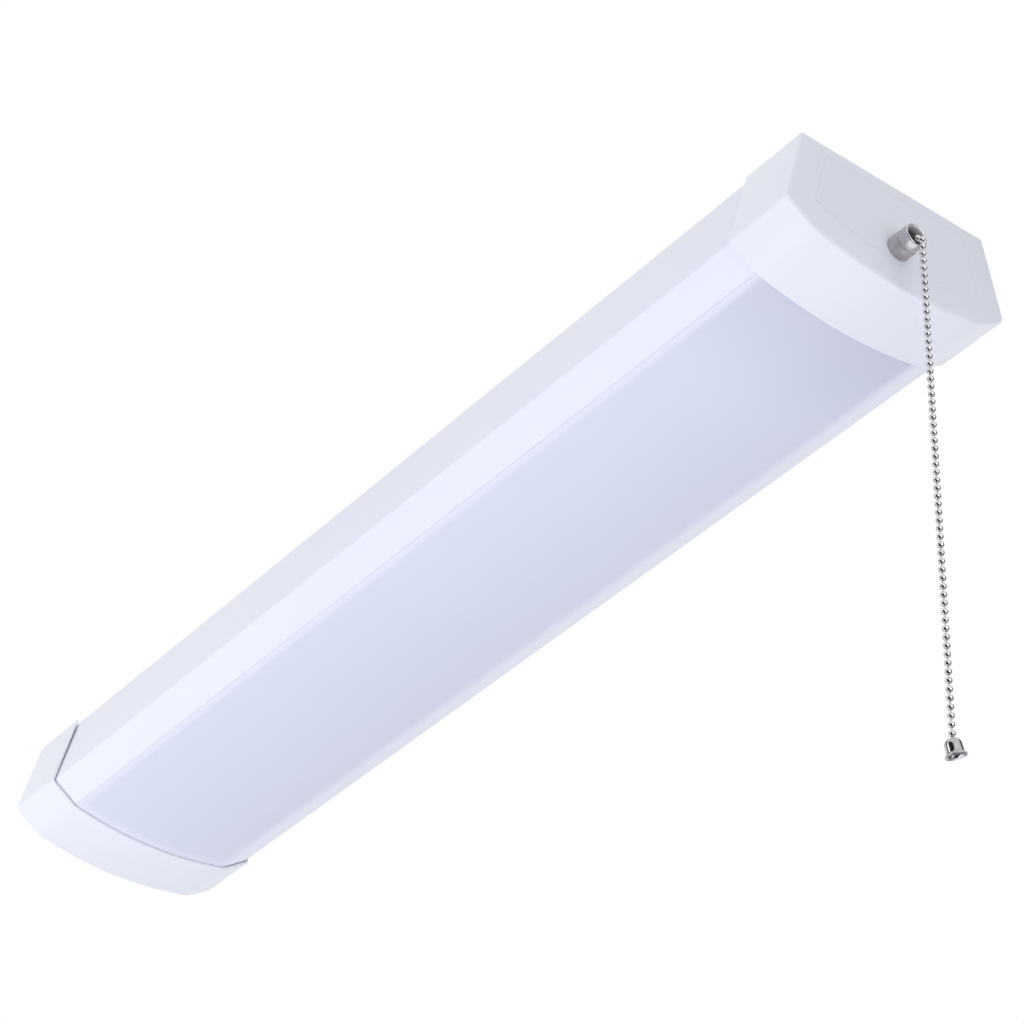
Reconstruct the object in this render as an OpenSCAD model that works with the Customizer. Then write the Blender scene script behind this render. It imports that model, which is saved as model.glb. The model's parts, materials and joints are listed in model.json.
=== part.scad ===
// Two-foot LED shop light with a bowed diffuser, moulded end caps and a pull-chain switch.
// Frame: origin in the middle of the ceiling face, +X along the light towards the switch end,
// +Z up into the ceiling. The diffuser faces -Z.

/* [Overall] */
// Length over both end caps
light_len = 610; // [560:10:900]
// Width across the front corners of the end caps
front_w = 124; // [118:0.5:150]
// Width across the back, at the ceiling
back_w = 104; // [98:0.5:112]
// Depth of the flank, from the ceiling to the front corner
side_h = 42.2; // [40:0.2:50]
// How far the front strips slope down from the front corners to the diffuser
strip_h = 8.8; // [7:0.2:12]
// Bow of the diffuser, from the chord between the strips to the middle
bow = 5.6; // [4:0.2:9]
// Fillet of the end caps' front corners
corner_r = 4.5; // [1:0.5:6]
// Fillet of the end caps where their strips meet the bow
blend_r = 20; // [5:1:40]

/* [Housing] */
// Thickness of the folded steel sheet
sheet_t = 1; // [0.8:0.1:1.4]
// How far the housing lies inside the end caps' outline
body_inset = 1.6; // [1.2:0.1:2.4]
// How far the housing's front fold lies above the end caps' front corner
fold_in = 0.8; // [0.5:0.1:2]
// Half width of the mouth that the diffuser closes
mouth_half = 46.4; // [44.5:0.1:50]
// Height of the lip folded back inside the mouth
lip_h = 5.5; // [4:0.5:8]
// Gap between the housing's ends and the end caps' end walls
end_gap = 0.3; // [0.2:0.1:0.5]

/* [Diffuser] */
// How far the diffuser lies inside the end caps' bowed front
lens_in = 1.3; // [1.2:0.1:2.5]
// Wall of the diffuser
lens_t = 1.6; // [1:0.1:2.5]
// Groove between the housing's lip and the diffuser
groove = 0.3; // [0.2:0.1:1.5]
// Reach of the diffuser's barbs over the lips
barb = 2.2; // [1.8:0.1:3]
// Thickness of the diffuser's barbs
barb_t = 1.2; // [0.8:0.1:2]
// Distance from the end walls to the diffuser's ends
lens_short = 7; // [4:1:20]
// Clearance between a snapped or seated piece and its seat
seat_gap = 0.3; // [0.1:0.1:0.5]

/* [End caps] */
// Length of an end cap along the light
cap_len = 36.6; // [30:0.2:60]
// Clearance between an end cap and the housing inside it
cap_gap = 0.4; // [0.3:0.1:0.6]
// Thickness of the end wall
end_wall = 2; // [1.6:0.1:3]
// Chamfer round the end face
edge_c = 1.4; // [0.4:0.1:1.8]
// Distance from the flanks to the fine line engraved in the end face
panel_inset = 13.5; // [11:0.5:16]
// Depth of that line's middle below the ceiling
panel_front = 44.2; // [40:0.2:46]
// Bow of that line's front
panel_bow = 8.6; // [4:0.2:11]
// Depth of that line's top below the ceiling
panel_top = 6; // [2:0.5:20]
// Width of the engraved line
panel_line = 0.3; // [0.2:0.1:1]
// Depth of the engraved line
panel_depth = 0.15; // [0.1:0.05:0.4]
// Distance of the snap tongues from the middle
tongue_y = 38; // [34:1:42]
// Width of a snap tongue
tongue_w = 12; // [9:1:14]
// Length of a snap tongue from the end wall
tongue_len = 24; // [18:1:30]
// Thickness of a snap tongue
tongue_t = 2; // [1.5:0.1:3]
// Radius of the snap peg
peg_r = 2.8; // [2:0.1:3.5]

/* [Mounting] */
// Distance between ceiling screw holes along the light, one joist spacing
screw_dx = 406.4; // [380:0.1:430]
// Distance between ceiling screw holes across the light
screw_dy = 60; // [54:1:62]
// Radius of the ceiling screw holes
screw_hole_r = 2.5; // [2:0.1:3]
// Distance between hanger holes along the light
hang_dx = 500; // [470:1:520]
// Distance between hanger holes across the light
hang_dy = 80; // [76:1:86]
// Radius of the hanger holes
hang_hole_r = 2.2; // [1.5:0.1:2.6]
// Radius of the knock-out for the supply
entry_r = 11.1; // [8:0.1:12]
// Place of the knock-out along the light
entry_x = -45; // [-80:1:-40]

/* [Gear tray] */
// Depth of the gear tray's upper face below the ceiling
tray_z = 25.7; // [25:0.1:30]
// Half width of the gear tray
tray_half = 42; // [41:0.5:43]
// Gap between the gear tray's ends and the switch case
tray_gap = 13.7; // [3:0.1:20]
// Thickness of the gear tray and its brackets
tray_t = 1; // [0.8:0.1:1.5]
// Height of the gear tray's upturned edges
tray_edge = 8; // [5:1:15]
// Distance between the brackets along the light
bracket_dx = 330; // [300:10:350]
// Distance from the middle to the brackets' uprights
bracket_y = 31; // [29:0.5:31]
// Width of a bracket along the light
bracket_w = 16; // [14:1:24]
// Reach of a bracket's foot and flange
bracket_reach = 9.5; // [8:0.5:10]
// Radius of the tray screws' shanks
tray_screw_r = 1.65; // [1.3:0.05:1.9]
// Radius of the tray screws' heads
tray_head_r = 3.4; // [3:0.1:3.6]

/* [Light engine] */
// Distance from the gear tray's ends to the LED boards
board_inset = 7; // [5:0.5:10]
// Width of an LED board
board_w = 22; // [20:1:23]
// Thickness of an LED board
board_t = 1.6; // [1:0.1:2]
// Distance from the middle to each board's centre line
board_y = 20; // [19:0.5:20.5]
// Number of LEDs on a board
led_n = 24; // [12:2:24]
// Distance from a board's end to the middle of its outer LED
led_end = 13.5; // [10:0.5:20]
// Length of an LED package
led_l = 3.5; // [2:0.1:5]
// Width of an LED package
led_w = 2.8; // [2:0.1:4]
// Height of an LED package
led_h = 0.8; // [0.5:0.1:1.2]
// Distance from a board's end to its outer screws
board_screw_in = 5; // [4:0.5:6]
// Radius of the board screws' heads
board_head_r = 2.6; // [2:0.1:3]
// Place of the board connectors along the light
plug_x = 66; // [62:0.5:68]

/* [Driver] */
// Place of the driver's near end along the light
driver_x = 84; // [82:1:90]
// Length of the driver's case
driver_len = 120; // [116:1:130]
// Width of the driver's case
driver_w = 40; // [38:1:44]
// Height of the driver's case
driver_h = 20; // [20:0.5:21]
// Wall of the driver's case
driver_wall = 1.5; // [1:0.1:2]
// Thickness of the driver's lid
lid_t = 1.5; // [1:0.1:2]
// Height of the driver's transformer
core_h = 10; // [8:0.5:11]
// Length and width of the transformer's core
core_w = 18; // [14:1:20]
// Height of its bobbin's flange against the board
flange_h = 2.5; // [1.5:0.5:3]
// How much wider than the core the bobbin is
flange_reach = 2; // [1:0.5:3]
// Radius of the large capacitor
cap_r = 5; // [4:0.5:5.5]
// Height of the large capacitor
cap_h = 11; // [8:0.5:11.5]
// Radius of the small capacitor
small_cap_r = 4; // [3:0.5:4.5]
// Height of the small capacitor
small_cap_h = 10; // [8:0.5:11.5]
// Radius of the choke
choke_r = 7; // [5:0.5:8]
// Height of the choke
choke_h = 9; // [7:0.5:11]
// Radius of the choke's bore
choke_bore = 2.5; // [1.5:0.5:3]
// Length of the driver's fixing ears
ear_len = 9; // [8:0.5:11]
// Thickness of the driver's fixing ears
ear_t = 2; // [1.5:0.1:3]

/* [Supply wiring] */
// Radius of the mains leads
lead_r = 1; // [0.7:0.1:1.2]
// Radius of the LED leads
led_lead_r = 0.7; // [0.5:0.05:0.8]
// Length of the terminal block
block_l = 24; // [22:1:26]
// Width of the terminal block
block_w = 14; // [12:1:15]
// Height of the terminal block
block_h = 14; // [13:1:16]

/* [Switch] */
// Depth of the bushing's axis below the ceiling
bush_z = 36.5; // [36:0.1:37]
// Length of the switch case
case_len = 27; // [26.5:0.1:27.5]
// Width of the switch case
case_w = 20; // [19.5:0.1:21]
// Height of the switch case above the bushing's axis
case_up = 19.5; // [19:0.1:21]
// Height of the switch case below the bushing's axis
case_down = 10; // [8:0.1:10.5]
// Wall of the switch case
case_wall = 1.5; // [1.2:0.1:1.7]
// Outer radius of the threaded nipple
nipple_r = 5; // [4.8:0.1:5.2]
// Bore radius of the nipple
nipple_bore = 4; // [3.9:0.05:4.2]
// Radius of the round nut
nut_r = 6; // [5.8:0.1:7]
// Length of the round nut
nut_len = 6; // [4:0.1:6.4]
// Outer radius of the spout
spout_r = 5.9; // [5.6:0.1:6.5]
// Length of the spout
spout_len = 5.8; // [5.4:0.1:6.4]
// Length of the lever from its pin to the chain
lever_len = 12; // [11.5:0.1:12.5]
// Radius of the lever's pin
pin_r = 1; // [0.7:0.05:1.2]
// Running clearance of the lever and the drum on their pin
pin_clear = 0.05; // [0.02:0.01:0.08]
// Radius of the contact drum
drum_r = 6; // [5:0.1:6.2]
// Thickness of the contact drum
drum_t = 4; // [3:0.1:4.5]
// Thickness of the contact leaves
leaf_t = 0.4; // [0.2:0.1:0.5]
// Width of the leaf beside the drum
leaf_w = 2.4; // [1.5:0.1:2.8]
// Reach of that leaf below the drum's axis
leaf_reach = 3; // [1:0.5:5]
// Width of the wiper on the drum's face
wiper_w = 8; // [5:0.5:9]
// Height of the wiper
wiper_h = 5; // [4:0.5:7]
// Gap between the contact leaves and the drum
leaf_gap = 0.3; // [0.1:0.1:0.4]
// Turns of the return spring
spring_turns = 4; // [3:1:4]
// Wire radius of the return spring
spring_wire_r = 0.3; // [0.2:0.05:0.4]
// Radius of the return spring's coil
spring_r = 1.7; // [1.6:0.05:1.9]

/* [Chain] */
// Diameter of a chain ball
ball_d = 3; // [2.8:0.05:3.1]
// Distance from one ball to the next
ball_pitch = 4; // [3.9:0.05:4.1]
// Wall of a hollow ball
ball_wall = 0.25; // [0.15:0.05:0.3]
// Radius of the eyelets in a ball
eyelet_r = 0.45; // [0.4:0.01:0.5]
// Radius of the wire that links two balls
wire_r = 0.32; // [0.25:0.01:0.34]
// Radius of the heads on the link wires
head_r = 0.55; // [0.5:0.01:0.58]
// Number of balls below the upper swivel ball
ball_n = 62; // [20:1:90]

/* [Bell] */
// Height of the bell
bell_h = 7; // [6:0.1:14]
// Radius of the bell's rim
bell_rim_r = 4.5; // [4.3:0.1:7]
// Radius of the bell's waist
bell_waist_r = 3.5; // [2.9:0.1:4]
// Radius of the hole in the bell's crown
bell_hole_r = 1.25; // [1:0.01:1.3]
// Wall of the bell
bell_wall = 0.5; // [0.3:0.05:0.6]
// Lean of the bell on the chain
bell_lean = 21; // [0:1:21]
// Bearing that the bell leans to, from +X towards +Y
bell_bearing = 100; // [0:1:360]

/* [Hidden] */

eps = 0.01;
fine = 96;
medium = 48;
coarse = 24;

// Half sizes
half_len = light_len / 2;
half_front = front_w / 2;
half_back = back_w / 2;

// The diffuser is one arc between the strips; the caps' front runs lens_in outside it.
mouth_edge = [mouth_half, -side_h - strip_h];
lens_r = (mouth_half ^ 2 + bow ^ 2) / (2 * bow);
bow_z = lens_r + mouth_edge.y - bow;
bow_r = lens_r + lens_in;
arc_steps = 36;
fillet_steps = 5;

function unit(v) = v / norm(v);
function mirrored(pts) = [for (i = [len(pts) - 1:-1:0]) [-pts[i].x, pts[i].y]];
function polar(r, a) = r * [cos(a), sin(a)];
function arc(c, r, a0, a1, n) = [for (i = [0:n]) c + polar(r, a0 + (a1 - a0) * i / n)];

// A convex outline that runs clockwise, moved inwards by d (outwards where d is negative).
function inset(pts, d) = [for (i = [0:len(pts) - 1])
    let (a = unit(pts[i] - pts[(i + len(pts) - 1) % len(pts)]))
    let (b = unit(pts[(i + 1) % len(pts)] - pts[i]))
    let (na = [a.y, -a.x], nb = [b.y, -b.x])
    pts[i] + d * (na + nb) / (1 + na * nb)];

// Where the line through p along a meets the line through q along b
function meet(p, a, q, b) = p + a * cross(q - p, b) / cross(a, b);
// Where the line through p along a leaves the circle of radius r round the bow's centre
function leave(p, a, r) = let (q = p - [0, bow_z]) p + (sqrt((q * a) ^ 2 - q * q + r ^ 2) - q * a) * a;
function bearing(v) = atan2(v.y, v.x);

// Right flank and strip, as directions towards the front, and their inward normals
flank = unit([half_front - half_back, -side_h]);
flank_in = [flank.y, -flank.x];
body_back = half_back - body_inset / -flank.y;
fold_z = side_h - fold_in;
body_fold = [body_back + fold_z * flank.x / -flank.y, -fold_z];
strip = unit(mouth_edge - body_fold);
strip_in = [strip.y, -strip.x];

// End cap: flank, rounded front corner, strip, blend and bow
corner_c = meet([half_back, 0] + corner_r * flank_in, flank,
    [half_front, -side_h] + corner_r * strip_in, strip);
blend_c = leave([half_front, -side_h] + blend_r * strip_in, strip, bow_r - blend_r);
blend_a = bearing(blend_c - [0, bow_z]);
cap_right = concat([[half_back, 0]],
    arc(corner_c, corner_r, bearing(-flank_in), bearing(-strip_in), fillet_steps),
    arc(blend_c, blend_r, bearing(-strip_in), blend_a, fillet_steps),
    [for (i = [1:arc_steps / 2]) [0, bow_z] + polar(bow_r, blend_a + (-90 - blend_a) * i / (arc_steps / 2))]);
cap_outline = concat(cap_right, mirrored([for (i = [0:len(cap_right) - 2]) cap_right[i]]));

// The engraved line's outline, d inside its own outer edge; its front corners are sharp.
function panel_outline(d) = let (w = panel_inset + d, half = half_back - w / -flank.y)
    let (corner_z = panel_front - panel_bow - d, mid_z = panel_front - d)
    let (corner = half + corner_z * flank.x / -flank.y, h = mid_z - corner_z)
    let (r = (corner ^ 2 + h ^ 2) / (2 * h))
    let (a = bearing([corner, mid_z - corner_z - r]), top_z = panel_top + d)
    concat([[half + top_z * flank.x / -flank.y, -top_z]], arc([0, r - mid_z], r, a, -180 - a, arc_steps),
        [[-half - top_z * flank.x / -flank.y, -top_z]]);

// Housing: flanks parallel to the caps', a front fold, and a strip down to the mouth
mouth_a = bearing(mouth_edge - [0, bow_z]);
body_lines = [[body_back, 0], body_fold, mouth_edge];
body_arc = [for (i = [1:arc_steps - 1])
    [0, bow_z] + polar(lens_r, mouth_a + (-180 - 2 * mouth_a) * i / arc_steps)];
body_outline = concat(body_lines, body_arc, mirrored(body_lines));
housing_len = light_len - 2 * end_wall - 2 * end_gap;
lip_top = mouth_edge.y + lip_h;
body_inner = inset(concat(body_lines, mirrored(body_lines)), sheet_t);
lip_root = body_inner[1].y + (mouth_half + sheet_t - body_inner[1].x) * strip.y / strip.x;
sheet_half = [[0, 0], each body_lines, [mouth_half, lip_top], [mouth_half + sheet_t, lip_top],
    [mouth_half + sheet_t, lip_root], body_inner[1], body_inner[0], [0, -sheet_t]];
sheet_ring = concat([for (i = [1:len(sheet_half) - 2]) sheet_half[i]],
    mirrored([for (i = [1:len(sheet_half) - 2]) sheet_half[i]]));

// Diffuser
lens_half = mouth_half - groove;
lens_len = light_len - 2 * end_wall - 2 * lens_short;
function on_front(y, d) = bow_z - sqrt((lens_r - d) ^ 2 - y ^ 2);

// Gear tray and light engine
tray_top = -tray_z;
tray_under = tray_top - tray_t;
board_under = tray_under - board_t;
tray_len = light_len - 2 * (end_wall + end_gap + case_len + tray_gap);
board_len = tray_len - 2 * board_inset;
board_screw_x = board_len / 2 - board_screw_in;
led_pitch = (board_len - 2 * led_end) / (led_n - 1);
bracket_x = bracket_dx / 2;
tray_screw_y = bracket_y + bracket_reach - tray_head_r - 0.5;
screw_head_h = 2.2;
board_head_h = 1.6;
board_screw_r = 1.2;
lead_hole_r = 4;
plug_l = 6;
plug_w = 4.5;
plug_h = 2.8;
plug_y = board_y - board_w / 2 + plug_w / 2 + 0.4;

// Driver
driver_end = driver_x + driver_len;
driver_under = -sheet_t - driver_h;
driver_floor = -sheet_t - driver_wall;
choke_x = driver_x + 34;
core_x = choke_x + 32;
caps_x = core_x + 30;
post_r = 2;
post_in = [10, 6];
rim_h = 2;
rim_t = 1.2;
pcb_t = 1.6;
pcb_post_h = 4;
pcb_top = driver_floor - pcb_post_h;
pcb_under = pcb_top - pcb_t;
pcb_play = 1;
ear_w = 14;
small_screw_r = 1.6;
small_head_r = 2.9;
small_head_h = 1.8;
thread_clear = 0.05;
earth_at = [-10, 22];
tag_r = 3.4;
tag_t = 1;

// Lead ports, as the place across the light and the depth of each hole's axis
port_clear = 0.15;
port_z = pcb_under - 3.5;
neutral_y = -10;
switched_y = 12;
led_lead_y = 3;
plug_port_z = board_under - plug_h / 2;

// Terminal block
block_at = [26, -block_w / 2 - 6];
block_poles = 3;
pole_dx = block_l / block_poles;
pole_screw_r = 1.8;
pole_r = 1.5;

// Switch: everything hangs from the bushing's axis and the end face
case_x1 = half_len - end_wall - end_gap;
case_x0 = case_x1 - case_len;
case_y0 = -case_w / 2;
case_y1 = case_w / 2;
case_z0 = -bush_z - case_down;
case_z1 = -bush_z + case_up;
case_port_y = 6;
case_port_z = case_z1 - 6;
run_drop = nipple_bore - ball_d / 2 - 0.3;
run_z = -bush_z - run_drop;
spout_x0 = half_len + nut_len;
spout_x1 = spout_x0 + spout_len;
spout_seat = 3;
mouth_r = nipple_bore + 0.3;
nipple_x0 = case_x1 - case_wall - 1;

// Chain lattice: a level run, a quarter bend of one pitch over the spout's lip, then straight down
bend_r = ball_pitch / (PI / 2);
bend_x = spout_x1 + 0.15;
drop_x = bend_x + bend_r;
drop_z = run_z - bend_r;
ball_r = ball_d / 2;
head_off = ball_r - ball_wall - head_r - 0.08;
pull_balls = 2;
pull = pull_balls * ball_pitch;
link_free = ball_pitch - ball_r - 0.7;
end_pin_x = bend_x - 7 * ball_pitch;
inner_n = 3;
inner_x = bend_x - 3 * ball_pitch;
end_head_r = 1.3;

// Lever: its plate stays just ahead of the chain's end head over the whole pull
plate_t = 0.8;
plate_gap = end_head_r + plate_t / 2 + 0.2;
lever_a = atan(pull / (2 * lever_len));
pin_x = end_pin_x + (plate_gap + lever_len * sin(lever_a)) / cos(lever_a);
pin_z = run_z + lever_len;
hub_r = 2;
hub_w = 3;
plate_w = 6;
slot_w = 2 * wire_r + 0.8;
drum_y = hub_w / 2 + 0.5;
spring_y = -hub_w / 2 - 0.6;

swivel_z = drop_z - ball_pitch;
hang_z = swivel_z - ball_pitch;
last_z = hang_z - (ball_n - 1) * ball_pitch;

// Places a profile drawn across the light (Y, Z) along X.
module along_x(x0, x1) {
    translate([x0, 0, 0]) rotate([90, 0, 90]) linear_extrude(x1 - x0) children();
}

module rod_x(r, x0, x1) {
    translate([x0, 0, 0]) rotate([0, 90, 0]) cylinder(r = r, h = x1 - x0, $fn = medium);
}

module box(lo, hi) {
    translate(lo) cube(hi - lo);
}

// ---------------------------------------------------------------- housing
module housing() {
    color("white") difference() {
        along_x(-housing_len / 2, housing_len / 2) polygon(sheet_ring);
        for (sx = [-1, 1], sy = [-1, 1]) {
            back_hole([sx * screw_dx / 2, sy * screw_dy / 2], screw_hole_r);
            back_hole([sx * hang_dx / 2, sy * hang_dy / 2], hang_hole_r);
            back_hole([sx * (half_len - end_wall - tongue_len + tongue_w / 2), sy * tongue_y],
                peg_r + seat_gap);
        }
        back_hole([entry_x, 0], entry_r);
        back_hole(earth_at, small_screw_r + thread_clear);
        for (x = [driver_x - ear_len / 2, driver_end + ear_len / 2])
            back_hole([x, 0], small_screw_r + thread_clear);
    }
}

module back_hole(at, r) {
    translate([at.x, at.y, -sheet_t - eps]) cylinder(r = r, h = sheet_t + 2 * eps, $fn = medium);
}

// ---------------------------------------------------------------- diffuser
module diffuser() {
    leg_top = lip_top + seat_gap;
    inner_half = lens_half - lens_t;
    skin = [for (i = [0:arc_steps]) lens_half * (1 - 2 * i / arc_steps)];
    side = [[inner_half, leg_top + barb_t], [lens_half + barb, leg_top + barb_t],
        [lens_half + barb, leg_top], [lens_half, leg_top]];
    color("lavender") along_x(-lens_len / 2, lens_len / 2) polygon(concat(
        side,
        [for (y = skin) [y, on_front(y, 0)]],
        mirrored(side),
        [for (i = [arc_steps:-1:0]) let (y = inner_half * (1 - 2 * i / arc_steps))
            [y, on_front(y, lens_t)]]));
}

// ---------------------------------------------------------------- end caps
// Drawn at the +X end; the plain cap is its mirror image without the bushing hole.
module cap_shell() {
    inner_x0 = half_len - cap_len;
    difference() {
        hull() {
            along_x(inner_x0, half_len - edge_c) polygon(cap_outline);
            along_x(half_len - edge_c, half_len) polygon(inset(cap_outline, edge_c));
        }
        along_x(inner_x0 - 1, half_len - end_wall) polygon(inset(body_outline, -cap_gap));
        difference() {
            along_x(half_len - panel_depth, half_len + 1) polygon(panel_outline(0));
            along_x(half_len - 2 * panel_depth, half_len + 2) polygon(panel_outline(panel_line));
        }
    }
    for (s = [-1, 1]) {
        tongue_tip = half_len - end_wall - tongue_len;
        box([tongue_tip, s * tongue_y - tongue_w / 2, -sheet_t - seat_gap - tongue_t],
            [half_len - end_wall, s * tongue_y + tongue_w / 2, -sheet_t - seat_gap]);
        translate([tongue_tip + tongue_w / 2, s * tongue_y, -sheet_t - seat_gap])
            cylinder(r = peg_r, h = sheet_t, $fn = medium);
    }
}

module end_cap_switch() {
    color("ghostwhite") difference() {
        cap_shell();
        translate([0, 0, -bush_z]) rod_x(nipple_r + 0.1, half_len - end_wall - 1, half_len + 1);
    }
}

module end_cap_plain() {
    color("ghostwhite") mirror([1, 0, 0]) cap_shell();
}

// ---------------------------------------------------------------- gear tray
module tray_brackets() {
    leg_y = bracket_y;
    color("gainsboro") for (sx = [-1, 1], sy = [0, 1])
        translate([sx * bracket_x, 0, 0]) mirror([0, sy, 0])
            difference() {
                union() {
                    box([-bracket_w / 2, leg_y, tray_top], [bracket_w / 2, leg_y + tray_t, -sheet_t]);
                    box([-bracket_w / 2, leg_y, -sheet_t - tray_t],
                        [bracket_w / 2, leg_y + bracket_reach, -sheet_t]);
                    box([-bracket_w / 2, leg_y, tray_top],
                        [bracket_w / 2, leg_y + bracket_reach, tray_top + tray_t]);
                }
                translate([0, tray_screw_y, tray_top - 1])
                    cylinder(r = tray_screw_r + thread_clear, h = tray_t + 2, $fn = medium);
            }
}

module gear_tray() {
    color("whitesmoke") difference() {
        union() {
            box([-tray_len / 2, -tray_half, tray_under], [tray_len / 2, tray_half, tray_top]);
            for (s = [-1, 1]) box(
                [-tray_len / 2, s * tray_half - (s > 0 ? tray_t : 0), tray_under],
                [tray_len / 2, s * tray_half + (s > 0 ? 0 : tray_t), tray_top + tray_edge]);
        }
        for (sx = [-1, 1], sy = [-1, 1])
            translate([sx * bracket_x, sy * tray_screw_y, tray_under - 1])
                cylinder(r = tray_screw_r + 0.4, h = tray_t + 2, $fn = medium);
        for (x = [-board_screw_x, 0, board_screw_x], s = [-1, 1])
            translate([x, s * board_y, tray_under - 1])
                cylinder(r = board_screw_r + thread_clear, h = tray_t + 2, $fn = medium);
        translate([plug_x, 0, tray_under - 1]) cylinder(r = lead_hole_r, h = tray_t + 2, $fn = medium);
    }
}

module tray_screws() {
    color("silver") for (sx = [-1, 1], sy = [-1, 1])
        translate([sx * bracket_x, sy * tray_screw_y, 0])
            pan_screw(tray_screw_r, tray_head_r, screw_head_h, tray_under, tray_top + tray_t + 1.5);
}

// A round-headed screw whose head lies under z0 and whose tip reaches z1.
module pan_screw(r, head_radius, head_h, z0, z1) {
    difference() {
        union() {
            translate([0, 0, z0 - head_h]) cylinder(r = head_radius, h = head_h, $fn = medium);
            translate([0, 0, z0 - eps]) cylinder(r = r, h = z1 - z0 + eps, $fn = medium);
        }
        for (a = [0, 90]) rotate([0, 0, a]) translate([-head_radius * 0.55, -0.35, z0 - head_h - eps])
            cube([head_radius * 1.1, 0.7, head_h * 0.5]);
    }
}

// ---------------------------------------------------------------- light engine
module led_board(side) {
    color("snow") difference() {
        box([-board_len / 2, side * board_y - board_w / 2, board_under],
            [board_len / 2, side * board_y + board_w / 2, tray_under]);
        for (x = [-board_screw_x, 0, board_screw_x])
            translate([x, side * board_y, board_under - 1])
                cylinder(r = board_screw_r + 0.2, h = board_t + 2, $fn = medium);
    }
}

module led_board_left() {
    led_board(-1);
}

module led_board_right() {
    led_board(1);
}

module led_packages() {
    color("khaki") for (s = [-1, 1], i = [0:led_n - 1])
        translate([(i - (led_n - 1) / 2) * led_pitch, s * board_y, board_under - led_h / 2])
            cube([led_l, led_w, led_h], center = true);
}

module board_screws() {
    color("silver") for (x = [-board_screw_x, 0, board_screw_x], s = [-1, 1])
        translate([x, s * board_y, 0])
            pan_screw(board_screw_r, board_head_r, board_head_h, board_under, tray_top + 1);
}

module board_connectors() {
    color("ivory") for (s = [-1, 1]) difference() {
        box([plug_x - plug_l / 2, s * plug_y - plug_w / 2, board_under - plug_h],
            [plug_x + plug_l / 2, s * plug_y + plug_w / 2, board_under]);
        translate([plug_x, s * (plug_y - plug_w / 2), plug_port_z]) rotate([90, 0, 0])
            cylinder(r = led_lead_r + port_clear, h = 3, center = true, $fn = coarse);
    }
}

// ---------------------------------------------------------------- driver
module driver_case() {
    color("white") difference() {
        union() {
            box([driver_x, -driver_w / 2, driver_under], [driver_end, driver_w / 2, -sheet_t]);
            box([driver_x - ear_len, -ear_w / 2, -sheet_t - ear_t],
                [driver_end + ear_len, ear_w / 2, -sheet_t]);
        }
        difference() {
            box([driver_x + driver_wall, -driver_w / 2 + driver_wall, driver_under - 1],
                [driver_end - driver_wall, driver_w / 2 - driver_wall, driver_floor]);
            for (x = [driver_x + post_in.x, driver_end - post_in.x], s = [-1, 1])
                translate([x, s * (driver_w / 2 - post_in.y), pcb_top])
                    cylinder(r = post_r, h = pcb_post_h, $fn = medium);
        }
        for (x = [driver_x - ear_len / 2, driver_end + ear_len / 2])
            translate([x, 0, -sheet_t - ear_t - 1])
                cylinder(r = small_screw_r + 0.3, h = ear_t + 2, $fn = medium);
        driver_ports();
    }
}

// Holes in the driver's end walls for its leads
module driver_ports() {
    for (p = [[driver_x, neutral_y, lead_r], [driver_end, switched_y, lead_r],
            [driver_x, -led_lead_y, led_lead_r], [driver_x, led_lead_y, led_lead_r]])
        translate([p.x - 3, p.y, port_z]) rotate([0, 90, 0])
            cylinder(r = p.z + port_clear, h = 6, $fn = coarse);
}

module driver_lid() {
    rim_in = driver_wall + seat_gap;
    rim_x = [driver_x + rim_in, driver_end - rim_in];
    rim_y = driver_w / 2 - rim_in;
    color("gainsboro") {
        box([driver_x, -driver_w / 2, driver_under - lid_t], [driver_end, driver_w / 2, driver_under]);
        difference() {
            box([rim_x[0], -rim_y, driver_under], [rim_x[1], rim_y, driver_under + rim_h]);
            box([rim_x[0] + rim_t, -rim_y + rim_t, driver_under],
                [rim_x[1] - rim_t, rim_y - rim_t, driver_under + rim_h + 1]);
        }
    }
}

module driver_board() {
    color("seagreen") box(
        [driver_x + driver_wall + pcb_play, -driver_w / 2 + driver_wall + pcb_play, pcb_under],
        [driver_end - driver_wall - pcb_play, driver_w / 2 - driver_wall - pcb_play, pcb_top]);
}

// The transformer: a ferrite core round a bobbin with a taped winding
module driver_transformer() {
    core = core_w / 2;
    flange = core + flange_reach;
    wound = flange - 0.5;
    color("dimgray") translate([core_x, 0, pcb_under]) {
        box([-core, -core, -core_h], [core, core, -flange_h]);
        box([-core + flange_reach, -flange, -flange_h], [core - flange_reach, flange, 0]);
        box([-core + 2 * flange_reach, -wound, -core_h + 1],
            [core - 2 * flange_reach, wound, -flange_h - 0.5]);
    }
}

module driver_capacitors() {
    color("darkslateblue") {
        translate([caps_x, cap_r + 3, pcb_under - cap_h]) cylinder(r = cap_r, h = cap_h, $fn = medium);
        translate([caps_x, -small_cap_r - 3, pcb_under - small_cap_h])
            cylinder(r = small_cap_r, h = small_cap_h, $fn = medium);
    }
}

module driver_choke() {
    color("saddlebrown") translate([choke_x, 0, pcb_under - choke_h])
        difference() {
            cylinder(r = choke_r, h = choke_h, $fn = medium);
            translate([0, 0, -1]) cylinder(r = choke_bore, h = choke_h - 2, $fn = medium);
        }
}

module driver_screws() {
    color("silver") for (x = [driver_x - ear_len / 2, driver_end + ear_len / 2])
        translate([x, 0, 0])
            pan_screw(small_screw_r, small_head_r, small_head_h, -sheet_t - ear_t, -0.1);
}

// ---------------------------------------------------------------- supply wiring
block_y = block_at.y;
lead_exit_z = -sheet_t - block_h / 2;
function pole_x(i) = block_at.x + (i + 0.5) * pole_dx;

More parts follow.
